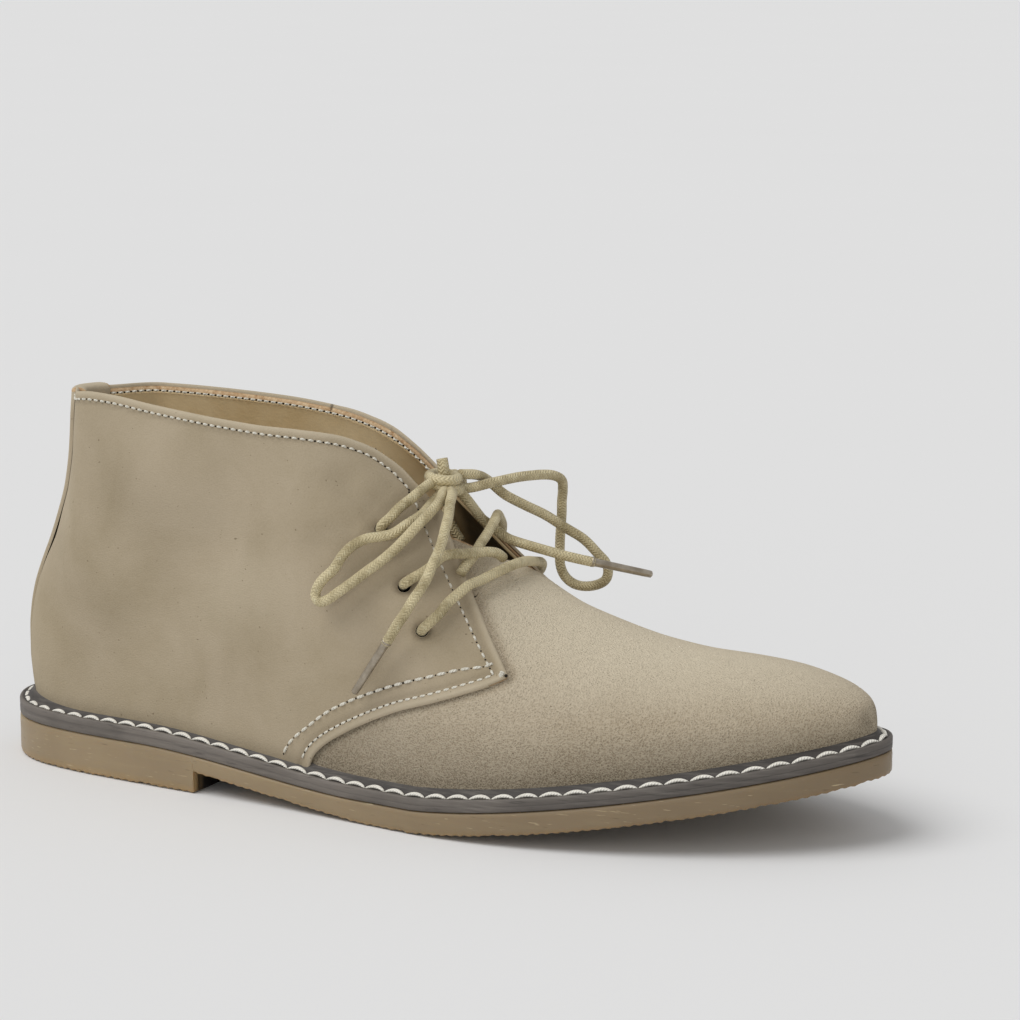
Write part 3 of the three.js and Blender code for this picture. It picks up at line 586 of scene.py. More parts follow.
def relief(x, z):
    """How far the leather sinks, in millimetres, at a place seen from the side."""
    total = np.zeros(len(x))
    for x0, z0, x1, z1, width, depth in zip(*CREASES.values()):
        total += depth * bell(segment_distance(x, z, (x0, z0), (x1, z1)), 0, width)
    wave = 0.12 * np.sin(x / 9.0 + 0.6 * np.sin(z / 13.0)) * np.sin(z / 11.0 + 1.3)
    return total + wave


# ---- Meshes ----
def to_frame(points):
    return (np.asarray(points, float) + SHIFT) / 1000


def make(name, points, faces, materials, indices=None, uvs=None, shade=None):
    """A mesh piece in the frame that rides on the body, from points in millimetres."""
    mesh = bpy.data.meshes.new(name)
    mesh.from_pydata(to_frame(points).tolist(), [], [tuple(int(i) for i in f) for f in faces])
    mesh.update()
    for material in materials:
        mesh.materials.append(material)
    if indices is not None:
        mesh.polygons.foreach_set("material_index", np.asarray(indices, np.int32))
    if shade is not None:
        layer = mesh.attributes.new("shade", "FLOAT", "POINT")
        layer.data.foreach_set("value", np.asarray(shade, np.float32))
    if uvs is not None:
        layer = mesh.uv_layers.new(name="UVMap")
        loops = np.empty(len(mesh.loops), np.int32)
        mesh.loops.foreach_get("vertex_index", loops)
        layer.data.foreach_set("uv", np.asarray(uvs, np.float32)[loops].ravel())
    mesh.polygons.foreach_set("use_smooth", np.full(len(mesh.polygons), True))
    piece = bpy.data.objects.new(name, mesh)
    bpy.context.scene.collection.objects.link(piece)
    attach(piece, "root")
    return piece


class Heap:
    """Many tubes that make one mesh."""

    def __init__(self):
        self.points, self.faces, self.uvs, self.count = [], [], [], 0

    def add(self, points, faces, uvs):
        self.points.append(points)
        self.faces.extend(tuple(i + self.count for i in f) for f in faces)
        self.uvs.append(uvs)
        self.count += len(points)

    def make(self, name, materials):
        return make(name, np.concatenate(self.points), self.faces, materials, uvs=np.concatenate(self.uvs))


def frames(path):
    """Directions along a path and two across it that turn as little as they can."""
    along = unit(np.gradient(path, axis=0))
    side = [unit(np.cross(along[0], [0.3, 0.2, 1.0]))]
    for a in along[1:]:
        side.append(unit(side[-1] - a * (side[-1] @ a)))
    side = np.array(side)
    return along, side, np.cross(along, side)


def tube(path, radii, sides, squash=1.0, up=None):
    """A round tube with closed ends, and its UVs: length in millimetres, then round it."""
    along, side, over = frames(path)
    if up is not None:
        over = unit(up - along * np.sum(up * along, axis=1)[:, None])
        side = np.cross(over, along)
    run = run_of(path)
    turn = np.linspace(0, 2 * np.pi, sides + 1)
    radii = np.broadcast_to(radii, len(path))
    ring = np.cos(turn)[:, None] * side[:, None] + squash * np.sin(turn)[:, None] * over[:, None]
    points = (path[:, None] + ring * radii[:, None, None]).reshape(-1, 3)
    uvs = np.stack(np.broadcast_arrays(run[:, None], turn[None] / (2 * np.pi)), 2).reshape(-1, 2)
    faces = skin(range(len(path)), sides + 1).tolist()
    last = (len(path) - 1) * (sides + 1)
    points = np.concatenate([points, path[:1], path[-1:]])
    uvs = np.concatenate([uvs, [[0, 0.5]], [[run[-1], 0.5]]])
    for k in range(sides):
        faces.append((k + 1, k, len(points) - 2))
        faces.append((last + k, last + k + 1, len(points) - 1))
    return points, faces, uvs


# ---- Materials ----
def rgb(code):
    """A colour as linear light, from its usual six hex digits."""
    parts = [int(code[i:i + 2], 16) / 255 for i in (0, 2, 4)]
    return tuple(c / 12.92 if c <= 0.04045 else ((c + 0.055) / 1.055) ** 2.4 for c in parts) + (1.0,)


class Paint:
    """A material and a short way of adding nodes to it. Colours are codes or sockets."""

    def __init__(self, name, **values):
        self.material = bpy.data.materials.new(name)
        self.material.use_nodes = True
        self.tree = self.material.node_tree
        self.shader = self.tree.nodes["Principled BSDF"]
        self.coordinates = self.node("ShaderNodeTexCoord")
        self.place = self.coordinates.outputs["Object"]
        for key, value in values.items():
            self.shader.inputs[key.replace("_", " ")].default_value = value

    def node(self, kind, inputs=None, **settings):
        node = self.tree.nodes.new(kind)
        for key, value in settings.items():
            setattr(node, key, value)
        for key, value in (inputs or {}).items():
            if isinstance(value, bpy.types.NodeSocket):
                self.tree.links.new(value, node.inputs[key])
            else:
                node.inputs[key].default_value = value
        return node

    def noise(self, scale, detail=3.0, roughness=0.55, distortion=0.0, where=None):
        inputs = {"Vector": where or self.place, "Scale": scale, "Detail": detail, "Roughness": roughness,
                  "Distortion": distortion}
        return self.node("ShaderNodeTexNoise", inputs).outputs["Fac"]

    def streaks(self, x, y, z, detail, roughness):
        """Noise that is stretched by its own scale along each axis."""
        inputs = {0: self.place, 1: (x, y, z)}
        where = self.node("ShaderNodeVectorMath", inputs, operation="MULTIPLY").outputs[0]
        return self.noise(1, detail, roughness, where=where)

    def cells(self, scale):
        inputs = {"Vector": self.place, "Scale": scale}
        return self.node("ShaderNodeTexVoronoi", inputs, feature="F1").outputs["Distance"]

    def steps(self, value, low, high, out_low=0.0, out_high=1.0):
        inputs = {"Value": value, "From Min": low, "From Max": high, "To Min": out_low, "To Max": out_high}
        return self.node("ShaderNodeMapRange", inputs).outputs[0]

    def math(self, operation, a, b=0.0):
        return self.node("ShaderNodeMath", {0: a, 1: b}, operation=operation).outputs[0]

    def add(self, a, b):
        return self.math("ADD", a, b)

    def times(self, a, b):
        return self.math("MULTIPLY", a, b)

    def mix(self, share, a, b):
        a, b = (rgb(colour) if isinstance(colour, str) else colour for colour in (a, b))
        return self.node("ShaderNodeMix", {0: share, 6: a, 7: b}, data_type="RGBA").outputs[2]

    def tint(self, colour, value, low, high, share, over):
        """A colour with another over it, from none where the value is low to a share where it is high."""
        return self.mix(self.steps(value, low, high, 0.0, share), colour, over)

    def bump(self, height, strength, distance, normal=None):
        inputs = {"Height": height, "Strength": strength, "Distance": distance}
        if normal is not None:
            inputs["Normal"] = normal
        return self.node("ShaderNodeBump", inputs).outputs[0]

    def shade(self):
        return self.node("ShaderNodeAttribute", attribute_name="shade").outputs["Fac"]

    def axis(self, vector, index):
        return self.node("ShaderNodeSeparateXYZ", {0: vector}).outputs[index]

    def into(self, key, value):
        self.tree.links.new(value, self.shader.inputs[key])

    def surface(self, colour, normal):
        self.into("Base Color", colour)
        self.into("Normal", normal)
        return self.material


def nubuck(name, light, dark, grain):
    """Buffed leather with a fine nap; the shade attribute paints a highlight into it (up to 1) or paints
    shade into it (down to -1).
    """
    paint = Paint(name, Roughness=0.92, Sheen_Weight=0.22, Sheen_Roughness=0.45, Specular_IOR_Level=0.12)
    paint.shader.inputs["Sheen Tint"].default_value = rgb("E8DCC4")
    pile = paint.times(paint.add(paint.noise(2300, 1, 0.5), paint.cells(1700)), 0.62)
    light_and_shade = paint.steps(paint.shade(), -1.0, 1.0)
    colour = paint.tint(dark, paint.noise(28, 4, 0.55, 0.5), 0.32, 0.68, 1.0, light)
    colour = paint.tint(colour, paint.noise(75, 4, 0.6), 0.35, 0.75, 0.35, light)
    # Painted highlight where shade is above 0, painted shade where it is below 0.
    colour = paint.tint(colour, light_and_shade, 0.5, 1.0, 0.9, "DED2BA")
    colour = paint.tint(colour, light_and_shade, 0.5, 0.0, 0.9, "5F5443")
    colour = paint.tint(colour, pile, 0.5, 0.34, 0.26 * grain, "62563F")
    colour = paint.tint(colour, pile, 0.52, 0.68, 0.2 * grain, "E0D5BE")
    colour = paint.tint(colour, paint.noise(900, 1, 0.4), 0.765, 0.79, 0.55, "57492F")
    nap = paint.bump(paint.noise(380, 4, 0.6), 0.12, 0.0004)
    return paint.surface(colour, paint.bump(pile, 0.9 * grain + 0.06, 0.0006, nap))


def leather(name, light, dark, roughness):
    """Smooth leather with pores and fine wrinkles; the shade attribute paints shade into it, near black as
    it falls to -1.
    """
    paint = Paint(name, Roughness=roughness, Specular_IOR_Level=0.35)
    pores = paint.cells(1100)
    colour = paint.tint(dark, paint.noise(30, 4, 0.6), 0.3, 0.7, 1.0, light)
    colour = paint.tint(colour, pores, 0.25, 0.0, 0.25, dark)
    colour = paint.tint(colour, paint.shade(), 0.0, -1.0, 0.96, "1C150F")
    wrinkles = paint.bump(paint.noise(160, 4, 0.6, 1.2), 0.25, 0.0006)
    return paint.surface(colour, paint.bump(pores, 0.2, 0.0002, wrinkles))


def raw_edge(name, light, dark):
    """The cut edge of the leather, fibrous and paler than its faces."""
    paint = Paint(name, Roughness=0.85, Specular_IOR_Level=0.15)
    fibre = paint.noise(700, 4, 0.65)
    colour = paint.tint(dark, fibre, 0.3, 0.7, 1.0, light)
    colour = paint.tint(colour, paint.noise(90, 3, 0.6), 0.45, 0.75, 0.5, dark)
    return paint.surface(colour, paint.bump(fibre, 0.5, 0.0003))


def thread(name, light, dark):
    """Twisted thread: the twist comes from the UVs' length and turn."""
    paint = Paint(name, Roughness=0.6, Specular_IOR_Level=0.3, Sheen_Weight=0.15)
    uv = paint.coordinates.outputs["UV"]
    wave = paint.add(paint.times(paint.axis(uv, 0), 6.5), paint.times(paint.axis(uv, 1), 12.566))
    twist = paint.math("SINE", wave)
    colour = paint.tint(light, twist, 0.2, -1.0, 0.45, dark)
    colour = paint.tint(colour, paint.noise(260, 3), 0.5, 0.75, 0.35, dark)
    return paint.surface(colour, paint.bump(twist, 0.5, 0.0003))


def braid(name, light, dark):
    """Waxed round braid: two families of strands cross in a V."""
    paint = Paint(name, Roughness=0.55, Specular_IOR_Level=0.35, Sheen_Weight=0.1)
    uv = paint.coordinates.outputs["UV"]
    along = paint.times(paint.axis(uv, 0), 2 * math.pi / BRAID_PITCH)
    zigzag = paint.math("PINGPONG", paint.times(paint.axis(uv, 1), 10.0), 1.0)
    weave = paint.math("SINE", paint.add(along, paint.times(zigzag, 5.0)))
    colour = paint.tint(light, weave, 0.1, -1.0, 0.4, dark)
    colour = paint.tint(colour, paint.noise(150, 4), 0.44, 0.68, 0.75, dark)
    colour = paint.tint(colour, paint.noise(700, 2), 0.55, 0.7, 0.4, "E6DEBC")
    return paint.surface(colour, paint.bump(weave, 0.6, 0.0003))


def gum(name, tread):
    """Translucent rubber with a painted amber glow where it is thin, and fine nicks; the tread has zigzag
    bars.

    Shade runs from 0 where it is thin to 1, and down to -1 for a painted shadow in the hollow behind the
    heel's breast.
    """
    paint = Paint(name, Roughness=0.42, Specular_IOR_Level=0.45, Subsurface_Weight=0.25,
                  Subsurface_Scale=0.004)
    paint.shader.inputs["Subsurface Radius"].default_value = (1.0, 0.6, 0.25)
    depth = paint.shade()
    clouds = paint.noise(26, 4, 0.55)
    streaks = paint.streaks(45, 45, 420, 3, 0.6)
    nicks = paint.streaks(170, 170, 1500, 2, 0.5)
    along = paint.axis(paint.place, 0)
    # Painted glow: amber where the rubber is thin, greyer where it is thick.
    colour = paint.tint("A98A5C", depth, 0.0, 0.6, 1.0, "998669")
    colour = paint.tint(colour, clouds, 0.35, 0.7, 0.5, "7F6E55")
    colour = paint.tint(colour, streaks, 0.5, 0.75, 0.3, "A5936F")
    # Painted shade: darker towards the toe.
    colour = paint.tint(colour, along, -0.06, 0.15, 0.55, "69573F")
    colour = paint.tint(colour, nicks, 0.68, 0.76, 0.6, "CDBD98")
    colour = paint.tint(colour, nicks, 0.32, 0.24, 0.4, "5A4A34")
    # Painted shadow: near black where shade falls below 0, in the hollow behind the heel's breast.
    colour = paint.tint(colour, depth, -0.1, -0.9, 1.0, "1D150D")
    normal = paint.bump(paint.noise(140, 4, 0.6), 0.25, 0.0006)
    normal = paint.bump(streaks, 0.15, 0.0003, normal)
    if tread:
        zigzag = paint.math("PINGPONG", paint.times(paint.axis(paint.place, 1), 140.0), 1.0)
        bars = paint.math("SINE", paint.add(paint.times(along, 1200.0), paint.times(zigzag, 3.0)))
        normal = paint.bump(paint.steps(bars, -0.3, 0.3), 1.0, 0.0014, normal)
    paint.into("Roughness", paint.steps(clouds, 0.3, 0.7, 0.34, 0.55))
    return paint.surface(colour, normal)


def welt_rubber():
    """Dark layered rubber with scratches along its side; the shade attribute paints shade into it, darkest
    at 1.
    """
    paint = Paint("welt_rubber", Roughness=0.6, Specular_IOR_Level=0.35)
    scratches = paint.streaks(70, 70, 900, 4, 0.65)
    colour = paint.tint("78716A", paint.shade(), 0.0, 1.0, 1.0, "45413E")
    colour = paint.tint(colour, scratches, 0.5, 0.72, 0.4, "8C867E")
    colour = paint.tint(colour, scratches, 0.42, 0.3, 0.6, "34312F")
    colour = paint.tint(colour, paint.noise(40, 3, 0.5), 0.45, 0.7, 0.35, "3A3735")
    normal = paint.bump(scratches, 0.35, 0.0004)
    return paint.surface(colour, paint.bump(paint.noise(500, 3), 0.2, 0.0002, normal))


def aglet_metal():
    """Brushed metal."""
    paint = Paint("aglet_metal", Metallic=0.7, Roughness=0.3)
    brushed = paint.noise(260, 3, 0.6)
    colour = paint.tint("9A8F7E", brushed, 0.35, 0.65, 1.0, "B8AE9E")
    return paint.surface(colour, paint.bump(brushed, 0.15, 0.0002))


NUBUCK = nubuck("nubuck", "AEA089", "9D8F76", 0.16)
VAMP_NUBUCK = nubuck("vamp_nubuck", "B4A690", "A3947D", 1.0)
LINING = leather("lining_leather", "EAD6AE", "CDB487", 0.5)
RAW = raw_edge("raw_edge", "DEC6A2", "A98560")
RAW_DARK = raw_edge("raw_edge_dark", "7D5E45", "4E3A2A")
SOCK = leather("sock_leather", "A58E66", "836D49", 0.6)
CREAM = thread("cream_thread", "EDE9DC", "A79F8B")
WAXED = thread("welt_thread", "FAF7EE", "CFC8B6")
HOLE_SHADOW = leather("needle_hole_shadow", "241D15", "120E0A", 0.9)
# Near black for the insides of needle holes and eyelets: painted shadow.
BRAID = braid("lace_braid", "DCCEA6", "94845C")
GUM = gum("gum_rubber", False)
TREAD = gum("gum_tread", True)
WELT = welt_rubber()
METAL = aglet_metal()


# ---- Camera ----
def add_camera():
    """A camera turned from the boot's outer side towards its toe, looking slightly down."""
    azimuth, elevation, distance = math.radians(25.56), math.radians(10.3), 0.993
    aim = Vector(((178.67 - 151) / 1000, 0.00005, 0.09193))
    back = Vector((math.sin(azimuth) * math.cos(elevation), -math.cos(azimuth) * math.cos(elevation),
                   math.sin(elevation)))
    data = bpy.data.cameras.new("camera")
    data.sensor_width = 36
    data.lens = 113.5
    data.clip_start = 0.01
    data.clip_end = 100
    camera = bpy.data.objects.new("camera", data)
    camera.location = aim + back * distance
    camera.rotation_euler = back.to_track_quat("Z", "Y").to_euler()
    bpy.context.scene.collection.objects.link(camera)
    bpy.context.scene.camera = camera


add_camera()


# ---- Laces ----
def lace(name, route, replaced):
    """One stretch of the lace as a braided tube."""
    path = evenly(smooth(route), 0.8)
    points, faces, uvs = tube(path, LACE_RADIUS, 14)
    piece = make(name, points, faces, [BRAID], uvs=uvs)
    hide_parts(*replaced)
    metres = to_frame(path)
    round(length_of(path) / 1000, 4)


def aglet(name, route, replaced):
    """The metal tip: a rolled tube, slightly pinched where it grips the lace."""
    end, before = np.array(route[-1], float), np.array(route[-2], float)
    at = np.array([-1.0, -0.6, 0.0, 0.6, 1.4, 6, 12, 17, 19.3, 19.7])
    radii = np.array([1.62, 1.68, 1.5, 1.32, 1.28, 1.26, 1.22, 1.2, 1.12, 0.7])
    points, faces, uvs = tube(end + at[:, None] * unit(end - before), radii, 18)
    piece = make(name, points, faces, [METAL], uvs=uvs)
    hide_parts(replaced)
    return piece


def knot():
    """The turns round the strands and the stub of the knot above them."""
    heap = Heap()
    facing = math.radians(KNOT_FACING)
    across = np.array([math.cos(facing), math.sin(facing), 0])
    forward = np.array([math.sin(facing), -math.cos(facing), 0])
    turn = np.linspace(0, 2 * np.pi, 40)[:, None]
    for middle, half_width, half_depth, tilt in KNOT_TURNS:
        wrap = (np.array(middle) + across * half_width * np.cos(turn) + forward * half_depth * np.sin(turn)
                + np.array([0, 0, tilt]) * np.cos(turn))
        heap.add(*tube(wrap, LACE_RADIUS + 0.1, 14))
    heap.add(*tube(evenly(smooth(KNOT_STUB), 0.7), LACE_RADIUS + 0.2, 14))
    piece = heap.make("knot_wrap", [BRAID])
    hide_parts("lace_knot")
    return piece


knot_piece = knot()
for name, route, replaced in (
    ("low_bar", LOW_BAR, ["lace_low_bar"]),
    ("bar_over", BAR_OVER, ["lace_crossing"]),
    ("bar_under", BAR_UNDER, []),
    ("riser_outer", RISER_OUTER, ["lace_riser_outer"]),
    ("riser_inner", RISER_INNER, ["lace_riser_inner"]),
):
    lace(name, route, replaced)
lace("loop_outer", LOOP_OUTER, ["lace_loop_outer"])
lace("loop_inner", LOOP_INNER, ["lace_loop_inner"])
tip_outer = aglet("tip_outer", END_OUTER, "aglet_outer")
tip_inner = aglet("tip_inner", END_INNER, "aglet_inner")
lace("end_outer", END_OUTER, ["lace_end_outer"])
lace("end_inner", END_INNER, ["lace_end_inner"])


# ---- Sheets of the upper ----
def boundary(faces):
    """Edges with one face, in that face's direction."""
    edges = np.concatenate([faces[:, [0, 1]], faces[:, [1, 2]], faces[:, [2, 0]]])
    keys = np.sort(edges, 1)
    _, place, count = np.unique(keys, axis=0, return_inverse=True, return_counts=True)
    return edges[count[place.reshape(-1)] == 1]


def rim(data, points, faces, edges, profile):
    """A strip from a sheet's own edge through steps of (level, distance out past the edge, material).

    Returns its points, faces and material indices.
    """
    normals = np.zeros_like(points)
    cross = np.cross(points[faces[:, 1]] - points[faces[:, 0]], points[faces[:, 2]] - points[faces[:, 0]])
    for k in range(3):
        np.add.at(normals, faces[:, k], cross)
    outwards = np.zeros_like(points)
    along = points[edges[:, 1]] - points[edges[:, 0]]
    side = unit(np.cross(along, normals[edges].sum(1)))
    for k in range(2):
        np.add.at(outwards, edges[:, k], side)
    used, local = np.unique(edges, return_inverse=True)
    local = local.reshape(-1, 2)
    out = unit(outwards[used])
    count = len(used)
    fresh, strips, kinds = [], [], []
    for level, past, material in profile:
        fresh.append(positions(data[used], level) + out * past)
        kinds.append(np.full(len(edges), material))
    rings = [used] + [len(points) + count * k + np.arange(count) for k in range(len(profile))]
    for low, high in zip(rings[:-1], rings[1:]):
        a, b = local.T
        strips.append(np.stack([low[b], low[a], high[a], high[b]], 1))
    return np.concatenate(fresh), np.concatenate(strips), np.concatenate(kinds)


def distances(points, others):
    """Distance of each point from the nearest of the others."""
    tree = kdtree.KDTree(len(others))
    for i, other in enumerate(others):
        tree.insert(other, i)
    tree.balance()
    return np.array([tree.find(p)[2] for p in points])


# Edge profiles: (level, distance past the sheet's edge, index in QUARTER_MATERIALS).
QUARTER_MATERIALS = [NUBUCK, RAW, LINING, HOLE_SHADOW, RAW_DARK]
COLLAR_RIM = (
    (1.08, 0.3, 0), (0.95, 0.6, 0), (0.7, 0.85, 0), (0.4, 0.93, 0), (0.12, 0.82, 0), (-0.02, 0.55, 0),
    (-0.1, 0.4, 1), (-0.3, 0.5, 1), (-0.6, 0.5, 1), (-0.9, 0.3, 1), (-1.05, 0.05, 2), (-1.3, 0.05, 2),
    (-1.6, -0.1, 2), (-1.72, -0.3, 2),
)
FACING_RIM = (
    (1.08, 0.25, 0), (0.95, 0.5, 0), (0.7, 0.62, 0), (0.4, 0.6, 0), (0.1, 0.45, 4), (-0.15, 0.5, 1),
    (-0.45, 0.5, 1), (-0.7, 0.35, 4), (-1.1, 0.45, 2), (-1.45, 0.4, 2), (-1.68, 0.0, 2),
)
OVERLAP_RIM = (
    (1.08, 0.25, 0), (0.98, 0.5, 0), (0.8, 0.7, 0), (0.5, 0.85, 0), (0.2, 0.82, 0), (0.0, 0.7, 0),
    (-0.3, 0.5, 0),
)
# Round each eyelet the cut wall is near black and a disc closes the hole below the face: painted shadow in
# the hole.
HOLE_RIM = ((0.95, 0.12, 0), (0.75, 0.2, 3), (0.2, 0.22, 3), (-1.4, 0.22, 3), (-1.5, EYELET_RADIUS, 3))


def quarters():
    """Both quarters as one sheet round the heel, with folded and cut edges and punched eyelets."""
    data, faces = grid_sheet(0, station_past(QUARTERS_REACH))
    data, faces = clip(data, faces, quarter_field(positions(data, 0.0)) - EDGE_MARGIN)
    data, faces = clip(data, faces, collar_field(positions(data, 0.0)) - COLLAR_MARGIN)
    data, faces = clip(data, faces, eyelet_distance(positions(data, PROUD)) - EYELET_RADIUS)
    front, top, hole = (data[:, -3:] > 0.999).T
    base = positions(data, PROUD)
    edges = boundary(faces)
    height = base[edges][:, :, 2]
    is_hole = hole[edges].all(1)
    in_front = front[edges].all(1)
    is_top = ~is_hole & (top[edges].all(1) | ~in_front & (height.min(1) > 80))
    is_front = in_front & ~is_top & ~is_hole
    front_low = is_front & ((height.mean(1) < FACING_CORNER_Z) | (base[edges][:, :, 0].mean(1) < 140))
    is_facing = is_front & ~front_low
    near = distances(base, base[np.unique(edges[is_front | is_top])])
    holes = np.maximum(eyelet_distance(base) - EYELET_RADIUS, 0)
    beside_strip = np.where(base[:, 0] < 40, np.abs(base[:, 1]), 99) - BACKSTAY_WIDTH / 2 - 0.2
    dents = relief(base[:, 0], base[:, 2])
    level = PROUD + 0.16 * bell(near, 1.2, 1.0) - 0.2 * bell(near, 2.6, 0.7) - 0.28 * bell(holes, 0, 0.9)
    level -= dents * ease(near / 8) + 0.3 * bell(beside_strip, 0, 0.8)
    points = positions(data, level)
    # Painted highlight along the folded edges and on proud creases; painted shade in the stitch groove,
    # round the eyelets, beside the backstay strip, near the welt and in dents.
    shade = 0.35 * bell(near, 0, 1.3) - 0.25 * bell(near, 2.8, 1.0) - 0.8 * bell(holes, 0, 1.0)
    shade -= 1.1 * bell(beside_strip, 0, 0.5)
    shade -= 0.35 * bell(base[:, 2] - welt_height(base[:, 0]), 0, 3.5)
    shade += 0.25 * np.clip(dents * -1.5, -0.5, 0.6)
    all_points, all_faces, kinds, shades = [points], faces.tolist(), [0] * len(faces), [shade]
    total = len(points)
    for chosen, profile in ((is_top, COLLAR_RIM), (is_facing, FACING_RIM), (front_low, OVERLAP_RIM),
                            (is_hole, HOLE_RIM)):
        fresh, strip, kind = rim(data, points, faces, edges[chosen], profile)
        strip = np.where(strip >= len(points), strip - len(points) + total, strip)
        all_points.append(fresh)
        all_faces.extend(strip.tolist())
        kinds.extend(kind.tolist())
        # The rims' nubuck fold gets a painted highlight.
        shades.append(np.full(len(fresh), 0.3))
        total += len(fresh)
    piece = make("quarters", np.concatenate(all_points), all_faces, QUARTER_MATERIALS, kinds,
                 shade=np.concatenate(shades))
    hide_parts("upper")


def vamp_level(p):
    """The vamp lies at its own level in front and dips under the facings to become the tongue."""
    return TONGUE_LEVEL * ease((183 - p[:, 0]) / 10) * ease((p[:, 2] - 44) / 10)


def slope_up(data):
    """How far the surface faces up, from 0 at a wall to 1 on a level top."""
    out = positions(data, PROUD) - positions(data, 0.0)
    return np.clip(out[:, 2] / np.maximum(np.linalg.norm(out, axis=1), 1e-6), 0, 1)


def front_sheet(first, last, reach):
    """The form in front of the quarters' edge, reaching under them, with the tongue cut to its shape."""
    data, faces = grid_sheet(first, last)
    data, faces = clip(data, faces, reach - quarter_field(positions(data, 0.0)))
    p = positions(data, TONGUE_LEVEL)
    edge = polygon_distance(p[:, 0], p[:, 1], TONGUE_LINE, TONGUE_AREA)
    return clip(data, faces, np.where(p[:, 2] > 40, edge - 0.3, 9))


def vamp():
    """The vamp, which runs back under the facings as the tongue."""
    data, faces = front_sheet(len(TURNS), U_COUNT - 1, 6.5)
    base = positions(data, 0.0)
    behind = -quarter_field(base)
    level = vamp_level(base) - relief(base[:, 0], base[:, 2]) * ease(behind / 8)
    points = positions(data, level - 0.35 * bell(behind, 0.5, 1.3))
    height = base[:, 2] - welt_height(base[:, 0])
    # Painted shade just in front of the quarters' edge and near the welt; painted highlight where the vamp
    # faces up.
    shade = -0.7 * bell(behind, 0.3, 1.2) - 0.4 * bell(height, 0, 3.5)
    shade += 1.6 * (slope_up(data) - 0.43) * ease(height / 6 + 0.3)
    free = data[:, -1] > 0.999
    edges = boundary(faces)
    edges = edges[free[edges].all(1)]
    profile = ((-2.02, 0.2, 1), (-2.3, 0.34, 1), (-3.0, 0.36, 1), (-3.8, 0.3, 1), (-4.1, 0.0, 2))
    fresh, strip, kind = rim(data, points, faces, edges, profile)
    piece = make("vamp_and_tongue", np.concatenate([points, fresh]), faces.tolist() + strip.tolist(),
                 [VAMP_NUBUCK, RAW, LINING], [0] * len(faces) + kind.tolist(),
                 shade=np.concatenate([shade, np.full(len(fresh), 0.2)]))
    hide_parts("tongue")


def tongue_back():
    """The tongue's inner face, which runs on into the vamp's lining."""
    data, faces = front_sheet(len(TURNS), station_past(TONGUE_REACH), 6.3)
    data, faces = clip(data, faces, positions(data, TONGUE_LEVEL)[:, 2] - TONGUE_FOOT)
    level = -1.8 - 2.3 * ease((204 - positions(data, TONGUE_LEVEL)[:, 0]) / 18)
    # Painted shade: the tongue's inner face is darkened nearly to black.
    piece = make("tongue_lining", positions(data, level), faces[:, ::-1], [LINING],
                 shade=np.full(len(data), -0.8))


def lining():
    """The lining behind the quarters and the vamp, open at the throat, the collar and the eyelets."""
    data, faces = grid_sheet(0, U_COUNT - 1)
    p = positions(data, 0.0)
    throat = polygon_distance(p[:, 0], p[:, 2], THROAT_LINE, THROAT_AREA)
    data, faces = clip(data, faces, -throat - 0.5)
    data, faces = clip(data, faces, collar_field(positions(data, 0.0)) - 0.5)
    data, faces = clip(data, faces, eyelet_distance(positions(data, -WALL)) - EYELET_RADIUS + 0.25)
    base = positions(data, 0.0)
    level = -WALL - 0.02 - relief(base[:, 0], base[:, 2]) * 0.4
    # Painted shade: the lining darkens towards near black in front, deep inside the throat.
    shade = -ease((base[:, 0] - 144) / 12) * ease((base[:, 2] - 52) / 8)
    piece = make("lining", positions(data, level), faces[:, ::-1], [LINING], shade=shade)


quarters()
vamp()
tongue_back()
lining()


# ---- Backstay and tab ----
def heel_u(width, z, level, side):
    """The station whose point at a height lies a distance to one side of the back seam."""
    r = 32.0
    for _ in range(4):
        turn = math.acos(min(max(width / r, 0), 1))
        u = (90 - math.degrees(turn)) / (90 / len(TURNS))
        p = spot(u, side, z, level)
        r = math.hypot(HEEL_CENTRE - p[0], p[1])
    return u


# Across a strip: share of the half width, and how far below its face.
HALF = ((1.0, 1.25), (1.0, 0.7), (0.985, 0.35), (0.955, 0.13), (0.9, 0.03), (0.8, 0.0), (0.6, 0.0),
        (0.3, 0.0))
ACROSS = [(-w, d) for w, d in HALF] + [(0.0, 0.0)] + list(HALF[::-1])


def strip_sheet(half, path):
    """A strip over the back seam along pairs of (level, z), with rounded edges tucked down beside it."""
    route = np.array(path, float)
    points = []
    for (level, z), (face_level, face_z) in zip(route, -to_left(unit(np.gradient(route, axis=0)))):
        for w, depth in ACROSS:
            side = -1 if w < 0 else 1
            here = float(np.clip(level - face_level * depth, LEVELS[0], LEVELS[-1]))
            low = min(z, HEEL_TOP)
            p = spot(heel_u(abs(w) * half, low, here, side), side, low, here)
            p[2] = z - face_z * depth
            points.append(p)
    return np.array(points), skin(range(len(route)), len(ACROSS))[:, [0, 3, 2, 1]]


